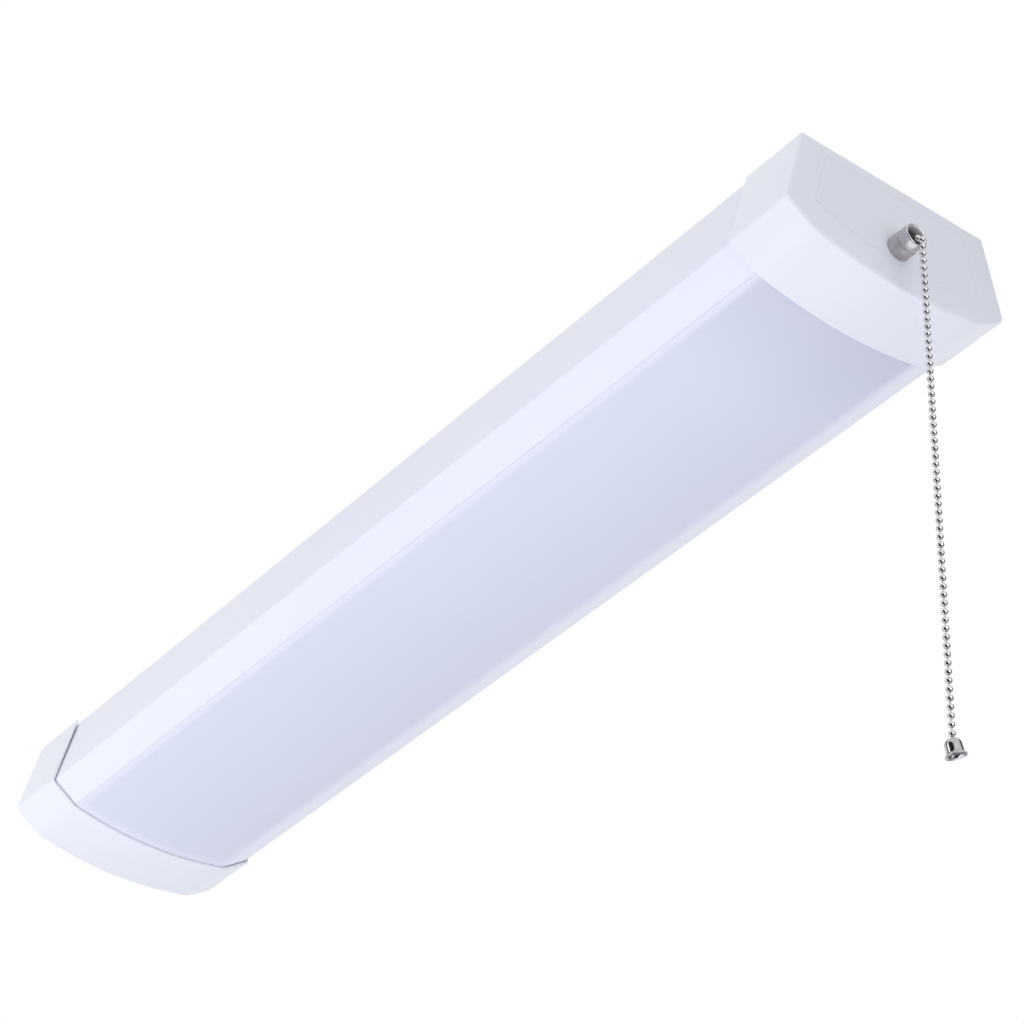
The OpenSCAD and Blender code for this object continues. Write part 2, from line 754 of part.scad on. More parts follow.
module terminal_block() {
    color("gray") difference() {
        box([block_at.x, block_y - block_w / 2, -sheet_t - block_h],
            [block_at.x + block_l, block_y + block_w / 2, -sheet_t]);
        for (i = [0:block_poles - 1]) translate([pole_x(i), block_y, 0]) {
            translate([0, 0, -sheet_t - block_h - 1])
                cylinder(r = pole_screw_r + 0.1, h = block_h / 2, $fn = coarse);
            translate([0, block_w / 2 + 1, lead_exit_z]) rotate([90, 0, 0])
                cylinder(r = pole_r, h = block_w + 2, $fn = coarse);
        }
    }
}

module terminal_screws() {
    color("goldenrod") for (i = [0:block_poles - 1])
        translate([pole_x(i), block_y, lead_exit_z - pole_r - 3.4])
            difference() {
                cylinder(r = pole_screw_r, h = 3.3, $fn = coarse);
                translate([-pole_screw_r, -0.3, -eps]) cube([2 * pole_screw_r, 0.6, 0.8]);
            }
}

module earth_screw() {
    color("green") translate([earth_at.x, earth_at.y, 0])
        pan_screw(small_screw_r, small_head_r, small_head_h, -sheet_t - tag_t, -0.1);
}

// A lead along a list of points: an eight-sided tube with a ring at each point.
function lead_rings(pts, r) = [for (i = [0:len(pts) - 1])
    let (t = unit(pts[min(i + 1, len(pts) - 1)] - pts[max(i - 1, 0)]))
    let (side = norm(cross(t, [0, 0, 1])) > 0.1 ? unit(cross(t, [0, 0, 1])) : [1, 0, 0])
    let (up = cross(side, t))
    for (k = [0:7]) pts[i] + r * (cos(k * 45) * side + sin(k * 45) * up)];

module lead(pts, r) {
    n = len(pts);
    polyhedron(lead_rings(pts, r), concat(
        [[for (k = [7:-1:0]) k]],
        [[for (k = [0:7]) (n - 1) * 8 + k]],
        [for (i = [0:n - 2], k = [0:7]) [i * 8 + k, i * 8 + (k + 1) % 8, (i + 1) * 8 + (k + 1) % 8]],
        [for (i = [0:n - 2], k = [0:7]) [i * 8 + k, (i + 1) * 8 + (k + 1) % 8, (i + 1) * 8 + k]]));
}

// Points of a smooth lead through a few chosen places
function bend4(a, b, c, d, t) = 0.5 * (2 * b + (c - a) * t + (2 * a - 5 * b + 4 * c - d) * t ^ 2
    + (3 * b - a - 3 * c + d) * t ^ 3);
function smooth(p, n) = concat([for (i = [0:len(p) - 2], k = [0:n - 1])
    bend4(p[max(i - 1, 0)], p[i], p[i + 1], p[min(i + 2, len(p) - 1)], k / n)], [p[len(p) - 1]]);

module live_lead() {
    color("saddlebrown") lead(smooth([
        [pole_x(2), block_y - block_w / 2 + 3, lead_exit_z],
        [pole_x(2), block_y - block_w / 2 - 1, lead_exit_z],
        [pole_x(2), block_y - block_w / 2 - 4, lead_exit_z],
        [pole_x(2) + 10, -27, -9],
        [driver_x, -26, -8],
        [driver_end, -26, -8],
        [case_x0 - 34, -25, -9],
        [case_x0 - 14, -12, -20],
        [case_x0 - 7, -case_port_y, case_port_z],
        [case_x0 - 2, -case_port_y, case_port_z],
        [case_x0 + 1, -case_port_y, case_port_z]], 3), lead_r);
}

module switched_lead() {
    color("black") lead(smooth([
        [case_x0 + 1, case_port_y, case_port_z],
        [case_x0 - 2, case_port_y, case_port_z],
        [case_x0 - 7, case_port_y, case_port_z],
        [case_x0 - 20, 12, -18],
        [driver_end + 22, 18, port_z],
        [driver_end + 8, switched_y, port_z],
        [driver_end + 2, switched_y, port_z],
        [driver_end - 3, switched_y, port_z]], 3), lead_r);
}

module neutral_lead() {
    color("royalblue") lead(smooth([
        [pole_x(1), block_y + block_w / 2 - 3, lead_exit_z],
        [pole_x(1), block_y + block_w / 2 + 1, lead_exit_z],
        [pole_x(1), block_y + block_w / 2 + 4, lead_exit_z],
        [driver_x - 26, -2, lead_exit_z],
        [driver_x - 8, neutral_y, port_z],
        [driver_x - 2, neutral_y, port_z],
        [driver_x + 3, neutral_y, port_z]], 4), lead_r);
}

module earth_lead() {
    color("yellowgreen") {
        lead(smooth([
            [pole_x(0), block_y + block_w / 2 - 3, lead_exit_z],
            [pole_x(0), block_y + block_w / 2 + 1, lead_exit_z],
            [pole_x(0), block_y + block_w / 2 + 4, lead_exit_z],
            [block_at.x - 6, 8, -9],
            [earth_at.x + 14, earth_at.y, -4.5],
            [earth_at.x + tag_r + 0.5, earth_at.y, -sheet_t - lead_r - 0.2]], 4), lead_r);
        translate([earth_at.x, earth_at.y, -sheet_t - tag_t]) difference() {
            union() {
                cylinder(r = tag_r, h = tag_t, $fn = medium);
                translate([tag_r - 1, -1.2, 0]) cube([2.5, 2.4, tag_t]);
            }
            translate([0, 0, -1]) cylinder(r = small_screw_r + 0.2, h = tag_t + 2, $fn = medium);
        }
    }
}

module led_leads() {
    color("crimson") for (s = [-1, 1]) lead(smooth([
        [driver_x + 3, s * led_lead_y, port_z],
        [driver_x - 2, s * led_lead_y, port_z],
        [driver_x - 6, s * led_lead_y, port_z],
        [plug_x + 3, s * 2, port_z - 3],
        [plug_x, s * 2, tray_top],
        [plug_x, s * 3, plug_port_z + 0.5],
        [plug_x, s * (plug_y - plug_w / 2 - 3), plug_port_z],
        [plug_x, s * (plug_y - plug_w / 2 - 0.5), plug_port_z],
        [plug_x, s * (plug_y - plug_w / 2 + 1), plug_port_z]], 3), led_lead_r);
}

// ---------------------------------------------------------------- switch
module switch_case() {
    color("black") difference() {
        box([case_x0, case_y0, case_z0], [case_x1, case_y1 - case_wall, case_z1]);
        box([case_x0 + case_wall, case_y0 + case_wall, case_z0 + case_wall],
            [case_x1 - case_wall, case_y1, case_z1 - case_wall]);
        translate([0, 0, -bush_z]) rod_x(nipple_r + thread_clear, case_x1 - case_wall - 1, case_x1 + 1);
        for (s = [-1, 1]) translate([0, s * case_port_y, case_port_z])
            rod_x(lead_r + port_clear, case_x0 - 1, case_x0 + case_wall + 1);
        translate([pin_x, case_y0 - 1, pin_z]) rotate([-90, 0, 0])
            cylinder(r = pin_r + thread_clear, h = case_wall + 2, $fn = medium);
    }
}

module switch_cover() {
    color("dimgray") difference() {
        box([case_x0, case_y1 - case_wall, case_z0], [case_x1, case_y1, case_z1]);
        translate([pin_x, case_y1 - case_wall - 1, pin_z]) rotate([-90, 0, 0])
            cylinder(r = pin_r + thread_clear, h = case_wall + 2, $fn = medium);
    }
}

module switch_pin() {
    color("silver") translate([pin_x, case_y0 + 0.2, pin_z]) rotate([-90, 0, 0])
        cylinder(r = pin_r, h = case_w - 0.4, $fn = medium);
}

// The lever leans back at rest. The chain's wire runs through the slot in its plate.
module switch_lever() {
    color("tan") translate([pin_x, 0, pin_z]) rotate([0, lever_a, 0]) difference() {
        union() {
            translate([0, -hub_w / 2, 0]) rotate([-90, 0, 0]) cylinder(r = hub_r, h = hub_w, $fn = medium);
            box([-plate_t / 2, -hub_w / 2, -lever_len + 4], [plate_t / 2, hub_w / 2, -hub_r + 0.5]);
            box([-plate_t / 2, -plate_w / 2, -lever_len - 2.6], [plate_t / 2, plate_w / 2, -lever_len + 4]);
        }
        translate([0, -hub_w / 2 - 1, 0]) rotate([-90, 0, 0])
            cylinder(r = pin_r + pin_clear, h = hub_w + 2, $fn = medium);
        box([-plate_t, -slot_w / 2, -lever_len - 4], [plate_t, slot_w / 2, -lever_len + 2]);
    }
}

// Four bridges on the drum make and break the contact, a quarter turn for each pull.
module contact_drum() {
    color("chocolate") translate([pin_x, drum_y, pin_z]) rotate([-90, 0, 0]) difference() {
        cylinder(r = drum_r, h = drum_t, $fn = medium);
        translate([0, 0, -1]) cylinder(r = pin_r + pin_clear, h = drum_t + 2, $fn = medium);
        for (a = [0:90:270]) rotate([0, 0, a]) translate([drum_r - 0.6, -1.2, drum_t / 2])
            cube([2, 2.4, drum_t]);
    }
}

module contact_springs() {
    foot_z = case_z1 - case_wall;
    leaf_x = pin_x - drum_r - leaf_gap;
    leaf_y = drum_y + (drum_t - leaf_w) / 2;
    wiper_y = drum_y + drum_t + leaf_gap;
    color("gold") {
        box([leaf_x - leaf_t, leaf_y, pin_z - leaf_reach], [leaf_x, leaf_y + leaf_w, foot_z]);
        box([case_x0 + case_wall, leaf_y, foot_z - leaf_t], [leaf_x, leaf_y + leaf_w, foot_z]);
        box([pin_x - wiper_w / 2, wiper_y, foot_z - wiper_h],
            [pin_x + wiper_w / 2, wiper_y + leaf_t, foot_z]);
    }
}

// Torsion spring round the pin
spring_gap = 0.45;
spring_pitch = 2 * spring_wire_r + spring_gap;
spring_steps = 8;
spring_pts = [for (i = [0:spring_turns * spring_steps]) let (a = i * 360 / spring_steps)
    [spring_r * cos(a), -spring_pitch * i / spring_steps, spring_r * sin(a)]];

function ring6(c, t, r) = let (side = unit([c.x, 0, c.z]), up = unit(cross(side, t)))
    [for (k = [0:5]) c + r * (cos(k * 60) * side + sin(k * 60) * up)];

module return_spring() {
    n = len(spring_pts);
    pts = [for (i = [0:n - 1])
        each ring6(spring_pts[i], unit(spring_pts[min(i + 1, n - 1)] - spring_pts[max(i - 1, 0)]),
            spring_wire_r)];
    turn = [for (i = [spring_steps:n - 1]) for (j = [0:i - spring_steps])
        norm(spring_pts[i] - spring_pts[j]) - 2 * spring_wire_r];
    echo(least_gap_between_turns = min(turn));
    color("silver") translate([pin_x, spring_y, pin_z]) polyhedron(pts, concat(
        [[for (k = [0:5]) k]],
        [[for (k = [5:-1:0]) (n - 1) * 6 + k]],
        [for (i = [0:n - 2], k = [0:5]) [i * 6 + k, (i + 1) * 6 + k, (i + 1) * 6 + (k + 1) % 6]],
        [for (i = [0:n - 2], k = [0:5]) [i * 6 + k, (i + 1) * 6 + (k + 1) % 6, i * 6 + (k + 1) % 6]]));
}

module switch_nipple() {
    color("silver") translate([0, 0, -bush_z]) difference() {
        rod_x(nipple_r, nipple_x0, spout_x0 + spout_seat - 0.2);
        rod_x(nipple_bore, nipple_x0 - 1, spout_x0 + spout_seat + 1);
    }
}

module bushing_nut() {
    color("darkgray") translate([0, 0, -bush_z]) difference() {
        rod_x(nut_r, half_len, spout_x0);
        rod_x(nipple_r + thread_clear, half_len - 1, spout_x0 + 1);
    }
}

// The spout screws on the nipple's end; its mouth is rounded so that the chain runs over it.
module spout() {
    lip = (spout_r - mouth_r) / 2;
    color("silver") translate([spout_x0, 0, -bush_z]) rotate([0, 90, 0]) difference() {
        union() {
            cylinder(r = spout_r, h = spout_len - lip, $fn = medium);
            translate([0, 0, spout_len - lip]) rotate_extrude($fn = medium)
                translate([mouth_r + lip, 0]) circle(r = lip, $fn = coarse);
        }
        translate([0, 0, -1]) cylinder(r = nipple_r + thread_clear, h = spout_seat + 1, $fn = medium);
        cylinder(r = mouth_r, h = spout_len + 1, $fn = medium);
    }
}

// ---------------------------------------------------------------- chain
// A hollow ball with an eyelet at each end of its axis, which lies along Z
module ball() {
    difference() {
        sphere(r = ball_r, $fn = coarse);
        sphere(r = ball_r - ball_wall, $fn = coarse);
        cylinder(r = eyelet_r, h = 3 * ball_r, center = true, $fn = coarse);
    }
}

// A headed wire from the ball at the origin down to the next ball; its ends lie inside both balls.
module link(from = head_off, to = ball_pitch - head_off, far_head = true) {
    translate([0, 0, -to]) cylinder(r = wire_r, h = to - from, $fn = coarse);
    translate([0, 0, -from]) sphere(r = head_r, $fn = coarse);
    if (far_head) translate([0, 0, -to]) sphere(r = head_r, $fn = coarse);
}

// The same at the bend, where the wire stops short of the next ball so that both can turn
module bend_pair(at, a) {
    translate([at.x, 0, at.y]) rotate([0, a, 0]) {
        ball();
        link(to = link_free, far_head = false);
    }
}

module chain_end_pin() {
    wire_end = inner_x - (inner_n - 1) * ball_pitch;
    color("silver") translate([end_pin_x, 0, run_z]) {
        sphere(r = end_head_r, $fn = coarse);
        rod_x(wire_r, 0, wire_end - end_pin_x - head_off);
        translate([wire_end - end_pin_x - head_off, 0, 0]) sphere(r = head_r, $fn = coarse);
    }
}

module chain_inner_balls() {
    color("silver") for (i = [0:inner_n - 1])
        translate([inner_x - i * ball_pitch, 0, run_z]) rotate([0, -90, 0]) ball();
}

module chain_inner_links() {
    color("darkgray") for (i = [0:inner_n - 1])
        translate([inner_x - i * ball_pitch, 0, run_z]) rotate([0, -90, 0])
            if (i > 0) link();
            else link(to = link_free, far_head = false);
}

module chain_bend_first() {
    color("silver") bend_pair([bend_x - 2 * ball_pitch, run_z], -90);
}

module chain_bend_middle() {
    color("silver") bend_pair([bend_x - ball_pitch, run_z], -90);
}

module chain_bend_last() {
    color("silver") bend_pair([bend_x, run_z], -45);
}

module chain_lead_ball() {
    color("silver") translate([drop_x, 0, drop_z]) sphere(r = ball_r, $fn = coarse);
}

// The upper swivel ball hangs from the lead ball by a wire that clears both at any lean.
module chain_swivel_ball() {
    color("silver") {
        translate([drop_x, 0, swivel_z]) sphere(r = ball_r, $fn = coarse);
        translate([drop_x, 0, swivel_z + ball_r - 0.1])
            cylinder(r = wire_r, h = ball_pitch - 2 * ball_r, $fn = coarse);
    }
}

module chain_balls() {
    color("silver") for (i = [0:ball_n - 1]) translate([drop_x, 0, hang_z - i * ball_pitch]) ball();
}

module chain_links() {
    color("darkgray") {
        translate([drop_x, 0, hang_z + head_off]) {
            cylinder(r = wire_r, h = ball_pitch - ball_r - 0.1 - head_off, $fn = coarse);
            sphere(r = head_r, $fn = coarse);
        }
        for (i = [0:ball_n - 2]) translate([drop_x, 0, hang_z - i * ball_pitch]) link();
    }
}

// ---------------------------------------------------------------- bell
crown_in = sqrt((ball_r + 0.1) ^ 2 - bell_hole_r ^ 2);
crown = crown_in + bell_wall;
dome_h = 2.6;
bell_foot = crown - bell_h;
function dome(r, z, h) = [for (a = [0:15:90])
    [bell_hole_r + (r - bell_hole_r) * sin(a), z - h * (1 - cos(a))]];

module bell() {
    w = bell_wall;
    skirt = bell_h - dome_h;
    flare = bell_rim_r - bell_waist_r;
    color("silver") translate([drop_x, 0, last_z])
        rotate([0, 0, bell_bearing]) rotate([0, -bell_lean, 0])
            rotate_extrude($fn = fine) polygon(concat(
                dome(bell_waist_r, crown, dome_h),
                [[bell_waist_r + flare * 0.08, bell_foot + skirt * 0.5],
                    [bell_waist_r + flare * 0.3, bell_foot + skirt * 0.25],
                    [bell_rim_r - flare * 0.25, bell_foot + skirt * 0.12],
                    [bell_rim_r, bell_foot + skirt * 0.06], [bell_rim_r, bell_foot],
                    [bell_rim_r - w, bell_foot],
                    [bell_waist_r + flare * 0.3 - w, bell_foot + skirt * 0.2],
                    [bell_waist_r + flare * 0.08 - w, bell_foot + skirt * 0.5]],
                [for (p = [for (a = [90:-15:0]) a]) [bell_hole_r + (bell_waist_r - w - bell_hole_r) * sin(p),
                    crown_in - (dome_h - 0.3) * (1 - cos(p))]]));
}

housing();
diffuser();
end_cap_switch();
end_cap_plain();
tray_brackets();
gear_tray();
tray_screws();
led_board_left();
led_board_right();
led_packages();
board_screws();
board_connectors();
driver_case();
driver_lid();
driver_board();
driver_transformer();
driver_capacitors();
driver_choke();
driver_screws();
terminal_block();
terminal_screws();
earth_screw();
live_lead();
switched_lead();
neutral_lead();
earth_lead();
led_leads();
switch_case();
switch_cover();
switch_pin();
switch_lever();
contact_drum();
contact_springs();
return_spring();
switch_nipple();
bushing_nut();
spout();
chain_end_pin();
chain_inner_balls();
chain_inner_links();
chain_bend_first();
chain_bend_middle();
chain_bend_last();
chain_lead_ball();
chain_swivel_ball();
chain_balls();
chain_links();
bell();
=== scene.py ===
import bpy
import bmesh
import json
import math
from mathutils import Matrix, Vector


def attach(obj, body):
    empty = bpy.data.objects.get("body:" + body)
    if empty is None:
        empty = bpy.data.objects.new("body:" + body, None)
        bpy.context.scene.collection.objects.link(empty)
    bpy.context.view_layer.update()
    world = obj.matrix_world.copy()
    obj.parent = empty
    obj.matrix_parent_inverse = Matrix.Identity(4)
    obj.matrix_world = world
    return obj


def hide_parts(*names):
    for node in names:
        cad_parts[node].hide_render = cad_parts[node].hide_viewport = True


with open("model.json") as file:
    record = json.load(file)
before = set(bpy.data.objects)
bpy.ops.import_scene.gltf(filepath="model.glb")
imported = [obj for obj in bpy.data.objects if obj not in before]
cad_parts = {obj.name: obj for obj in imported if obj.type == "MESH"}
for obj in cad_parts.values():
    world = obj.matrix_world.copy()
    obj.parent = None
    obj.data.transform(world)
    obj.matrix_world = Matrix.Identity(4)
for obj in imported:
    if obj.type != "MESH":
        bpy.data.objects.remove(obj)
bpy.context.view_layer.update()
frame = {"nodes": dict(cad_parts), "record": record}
print("shop light: frame loaded,", len(frame["nodes"]), "nodes")

mm = 0.001
scene = bpy.context.scene


def addNode(tree, kind, **settings):
    node = tree.nodes.new(kind)
    for key, value in settings.items():
        setattr(node, key, value)
    return node


def joinUp(tree, source, target):
    tree.links.new(source, target)


view = dict(lens=116.47, sensor=36, near=0.05, far=40, place=(1.03583, -0.73627, -0.98370),
            turn=(127.961, -1.790, 52.120))


def makeCamera():
    eye = bpy.data.cameras.new("viewCamera")
    eye.lens = view["lens"]
    eye.sensor_width = view["sensor"]
    eye.clip_start = view["near"]
    eye.clip_end = view["far"]
    spot = bpy.data.objects.new("viewCamera", eye)
    spot.location = view["place"]
    spot.rotation_euler = [math.radians(a) for a in view["turn"]]
    scene.collection.objects.link(spot)
    scene.camera = spot


# a lamp is its name, place, aim, size and power; a card is its place, width, height and lean
studio = dict(
    floorHeight=-1.75, floorHalf=9, floorColor=(0.82, 0.83, 0.85, 1), floorRoughness=0.85,
    worldTint=(0.94, 0.955, 1.0, 1), worldStrength=0.62, lampTint=(0.955, 0.965, 0.985),
    lamps=[("keyLamp", (-0.9, -2.2, -0.4), (0, 0, -0.05), 2.4, 23.6),
           ("underLamp", (-0.3, 0.1, -1.6), (0, 0, -0.05), 2.4, 11.8),
           ("endLamp", (2.3, -0.1, -0.6), (0.3, 0, -0.05), 1.6, 10.4)],
    cardShade=0.015, cardRoughness=0.9, cardAimHeight=-0.17,
    cards=[((0.56, -0.55, -0.60), 0.9, 2.8, -32), ((1.0, 1.0, 0.1), 0.7, 2.4, 10),
           ((-0.6, -1.0, -0.1), 0.5, 2.0, 0)])


def softLamp(name, place, aim, size, power):
    lamp = bpy.data.lights.new(name, "AREA")
    lamp.shape = "DISK"
    lamp.size = size
    lamp.energy = power
    lamp.color = studio["lampTint"]
    spot = bpy.data.objects.new(name, lamp)
    spot.location = place
    spot.rotation_euler = (Vector(aim) - Vector(place)).to_track_quat("-Z", "Y").to_euler()
    spot.visible_camera = False
    scene.collection.objects.link(spot)


# the camera and reflections see plain white, and the tinted world lights the object
def makeWorld():
    world = bpy.data.worlds.new("studioWorld")
    scene.world = world
    world.use_nodes = True
    tree = world.node_tree
    tree.nodes.clear()
    path = addNode(tree, "ShaderNodeLightPath")
    seen = addNode(tree, "ShaderNodeMath", operation="MAXIMUM")
    joinUp(tree, path.outputs["Is Camera Ray"], seen.inputs[0])
    joinUp(tree, path.outputs["Is Glossy Ray"], seen.inputs[1])
    clear = addNode(tree, "ShaderNodeMath", operation="MAXIMUM")
    joinUp(tree, seen.outputs[0], clear.inputs[0])
    joinUp(tree, path.outputs["Is Transmission Ray"], clear.inputs[1])
    light = addNode(tree, "ShaderNodeBackground")
    light.inputs["Color"].default_value = studio["worldTint"]
    light.inputs["Strength"].default_value = studio["worldStrength"]
    white = addNode(tree, "ShaderNodeBackground")
    white.inputs["Color"].default_value = (1, 1, 1, 1)
    white.inputs["Strength"].default_value = 1
    pick = addNode(tree, "ShaderNodeMixShader")
    out = addNode(tree, "ShaderNodeOutputWorld")
    joinUp(tree, clear.outputs[0], pick.inputs[0])
    joinUp(tree, light.outputs[0], pick.inputs[1])
    joinUp(tree, white.outputs[0], pick.inputs[2])
    joinUp(tree, pick.outputs[0], out.inputs["Surface"])


def makeStudio():
    makeWorld()
    for lamp in studio["lamps"]:
        softLamp(*lamp)
    scene.view_settings.view_transform = "Standard"


makeCamera()
makeStudio()
print("shop light: camera and lights placed")


def newGroup(name, takes, gives):
    group = bpy.data.node_groups.new(name, "ShaderNodeTree")
    for label, kind, value in takes:
        socket = group.interface.new_socket(name=label, in_out="INPUT", socket_type=kind)
        if value is not None:
            socket.default_value = value
    for label, kind in gives:
        group.interface.new_socket(name=label, in_out="OUTPUT", socket_type=kind)
    return group, group.nodes.new("NodeGroupInput"), group.nodes.new("NodeGroupOutput")


# fine bump of a moulded, sprayed or rolled surface, with a slower wave under it
def grainGroup():
    group, takes, gives = newGroup("surfaceGrain", [
        ("Grain Size", "NodeSocketFloat", 900), ("Grain Height", "NodeSocketFloat", 0.2),
        ("Wave Size", "NodeSocketFloat", 12), ("Wave Height", "NodeSocketFloat", 0.05)],
        [("Height", "NodeSocketFloat"), ("Speckle", "NodeSocketFloat")])
    place = addNode(group, "ShaderNodeTexCoord")
    grain = addNode(group, "ShaderNodeTexNoise")
    grain.inputs["Detail"].default_value = 3
    wave = addNode(group, "ShaderNodeTexNoise")
    wave.inputs["Detail"].default_value = 1
    high = addNode(group, "ShaderNodeMath", operation="MULTIPLY")
    low = addNode(group, "ShaderNodeMath", operation="MULTIPLY_ADD")
    joinUp(group, place.outputs["Object"], grain.inputs["Vector"])
    joinUp(group, place.outputs["Object"], wave.inputs["Vector"])
    joinUp(group, takes.outputs["Grain Size"], grain.inputs["Scale"])
    joinUp(group, takes.outputs["Wave Size"], wave.inputs["Scale"])
    joinUp(group, grain.outputs["Fac"], high.inputs[0])
    joinUp(group, takes.outputs["Grain Height"], high.inputs[1])
    joinUp(group, wave.outputs["Fac"], low.inputs[0])
    joinUp(group, takes.outputs["Wave Height"], low.inputs[1])
    joinUp(group, high.outputs[0], low.inputs[2])
    joinUp(group, low.outputs[0], gives.inputs["Height"])
    joinUp(group, grain.outputs["Fac"], gives.inputs["Speckle"])
    return group


# slow drift between two tones of one finish
def toneGroup():
    group, takes, gives = newGroup("toneDrift", [
        ("Light Tone", "NodeSocketColor", (1, 1, 1, 1)),
        ("Deep Tone", "NodeSocketColor", (0.9, 0.9, 0.9, 1)), ("Patch Size", "NodeSocketFloat", 9),
        ("Low", "NodeSocketFloat", 0.35), ("High", "NodeSocketFloat", 0.65)],
        [("Color", "NodeSocketColor"), ("Mask", "NodeSocketFloat")])
    place = addNode(group, "ShaderNodeTexCoord")
    patch = addNode(group, "ShaderNodeTexNoise")
    patch.inputs["Detail"].default_value = 2
    spread = addNode(group, "ShaderNodeMapRange")
    mix = addNode(group, "ShaderNodeMix", data_type="RGBA")
    joinUp(group, place.outputs["Object"], patch.inputs["Vector"])
    joinUp(group, takes.outputs["Patch Size"], patch.inputs["Scale"])
    joinUp(group, patch.outputs["Fac"], spread.inputs["Value"])
    joinUp(group, takes.outputs["Low"], spread.inputs["From Min"])
    joinUp(group, takes.outputs["High"], spread.inputs["From Max"])
    joinUp(group, spread.outputs["Result"], mix.inputs["Factor"])
    joinUp(group, takes.outputs["Light Tone"], mix.inputs["A"])
    joinUp(group, takes.outputs["Deep Tone"], mix.inputs["B"])
    joinUp(group, mix.outputs["Result"], gives.inputs["Color"])
    joinUp(group, spread.outputs["Result"], gives.inputs["Mask"])
    return group


surfaceGrain = grainGroup()
toneDrift = toneGroup()


def newFinish(name):
    finish = bpy.data.materials.new(name)
    finish.use_nodes = True
    tree = finish.node_tree
    shader = tree.nodes["Principled BSDF"]
    return finish, tree, shader


def rgb(r, g, b):
    # a colour given as it shows on a screen, 0 to 255
    def flat(v):
        v /= 255
        return v / 12.92 if v <= 0.04045 else ((v + 0.055) / 1.055) ** 2.4
    return (flat(r), flat(g), flat(b), 1)


def addGrain(tree, shader, grainSize, grainHeight, waveSize, waveHeight, strength, depth):
    grain = addNode(tree, "ShaderNodeGroup", node_tree=surfaceGrain)
    grain.inputs["Grain Size"].default_value = grainSize
    grain.inputs["Grain Height"].default_value = grainHeight
    grain.inputs["Wave Size"].default_value = waveSize
    grain.inputs["Wave Height"].default_value = waveHeight
    bump = addNode(tree, "ShaderNodeBump")
    bump.inputs["Strength"].default_value = strength
    bump.inputs["Distance"].default_value = depth
    joinUp(tree, grain.outputs["Height"], bump.inputs["Height"])
    joinUp(tree, bump.outputs["Normal"], shader.inputs["Normal"])
    return grain


def addTone(tree, light, deep, patchSize, low=0.35, high=0.65):
    tone = addNode(tree, "ShaderNodeGroup", node_tree=toneDrift)
    tone.inputs["Light Tone"].default_value = light
    tone.inputs["Deep Tone"].default_value = deep
    tone.inputs["Patch Size"].default_value = patchSize
    tone.inputs["Low"].default_value = low
    tone.inputs["High"].default_value = high
    return tone


def addGloss(tree, shader, grain, low, high):
    # roughness varies a little with the grain
    spread = addNode(tree, "ShaderNodeMapRange")
    spread.inputs["From Min"].default_value = 0.3
    spread.inputs["From Max"].default_value = 0.7
    spread.inputs["To Min"].default_value = low
    spread.inputs["To Max"].default_value = high
    joinUp(tree, grain.outputs["Speckle"], spread.inputs["Value"])
    joinUp(tree, spread.outputs["Result"], shader.inputs["Roughness"])


# one maker for the plainer finishes: two tones, a grain and a gloss range
def plainFinish(name, light, deep, patchSize, gloss, metallic=0.0, grain=(900, 0.5, 20, 0.2),
                strength=0.15, depth=0.0002):
    finish, tree, shader = newFinish(name)
    tone = addTone(tree, light, deep, patchSize)
    joinUp(tree, tone.outputs["Color"], shader.inputs["Base Color"])
    shader.inputs["Metallic"].default_value = metallic
    bumps = addGrain(tree, shader, *grain, strength, depth)
    addGloss(tree, shader, bumps, *gloss)
    return finish


def faceOut(mesh):
    shape = bmesh.new()
    shape.from_mesh(mesh)
    bmesh.ops.recalc_face_normals(shape, faces=shape.faces)
    shape.to_mesh(mesh)
    shape.free()


def meshPiece(name, points, faces, finish, body, slot, *nodes, smooth=30):
    mesh = bpy.data.meshes.new(name)
    mesh.from_pydata([Vector(p) * mm for p in points], [], faces)
    mesh.update()
    return dressPiece(name, mesh, finish, body, slot, *nodes, smooth=smooth)


def dressPiece(name, mesh, finish, body, slot, *nodes, smooth=30):
    faceOut(mesh)
    for face in mesh.polygons:
        face.use_smooth = True
    mesh.set_sharp_from_angle(angle=math.radians(smooth))
    mesh.materials.clear()
    mesh.materials.append(finish)
    piece = bpy.data.objects.new(name, mesh)
    scene.collection.objects.link(piece)
    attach(piece, body)
    if nodes:
        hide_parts(*nodes)
    return piece


def unit(v):
    return v / v.length


def arcPoints(centre, radius, start, end, steps):
    return [centre + radius * Vector((math.cos(math.radians(start + (end - start) * i / steps)),
                                      math.sin(math.radians(start + (end - start) * i / steps))))
            for i in range(steps + 1)]


def mirrored(points):
    return [Vector((-p.x, p.y)) for p in reversed(points)]


def rounded(points, radii, steps=4):
    # each corner of a closed outline becomes an arc of its own radius
    done = []
    count = len(points)
    for i, corner in enumerate(points):
        radius = radii[i] if isinstance(radii, (list, tuple)) else radii
        before, after = points[i - 1], points[(i + 1) % count]
        a, b = unit(before - corner), unit(after - corner)
        bend = math.acos(max(-1, min(1, a.dot(b))))
        if radius <= 0 or bend > math.radians(175):
            done.append(corner)
            continue
        reach = radius / math.tan(bend / 2)
        reach = min(reach, 0.45 * (before - corner).length, 0.45 * (after - corner).length)
        radius = reach * math.tan(bend / 2)
        centre = corner + unit(a + b) * radius / math.sin(bend / 2)
        first, last = corner + a * reach - centre, corner + b * reach - centre
        turn = first.angle_signed(last)
        for k in range(steps + 1):
            done.append(centre + Matrix.Rotation(-turn * k / steps, 2) @ first)
    return done


def inset(points, depth):
    # moves a clockwise outline inwards
    done = []
    count = len(points)
    for i, p in enumerate(points):
        a, b = unit(p - points[i - 1]), unit(points[(i + 1) % count] - p)
        na, nb = Vector((a.y, -a.x)), Vector((b.y, -b.x))
        done.append(p + depth * (na + nb) / (1 + na.dot(nb)))
    return done


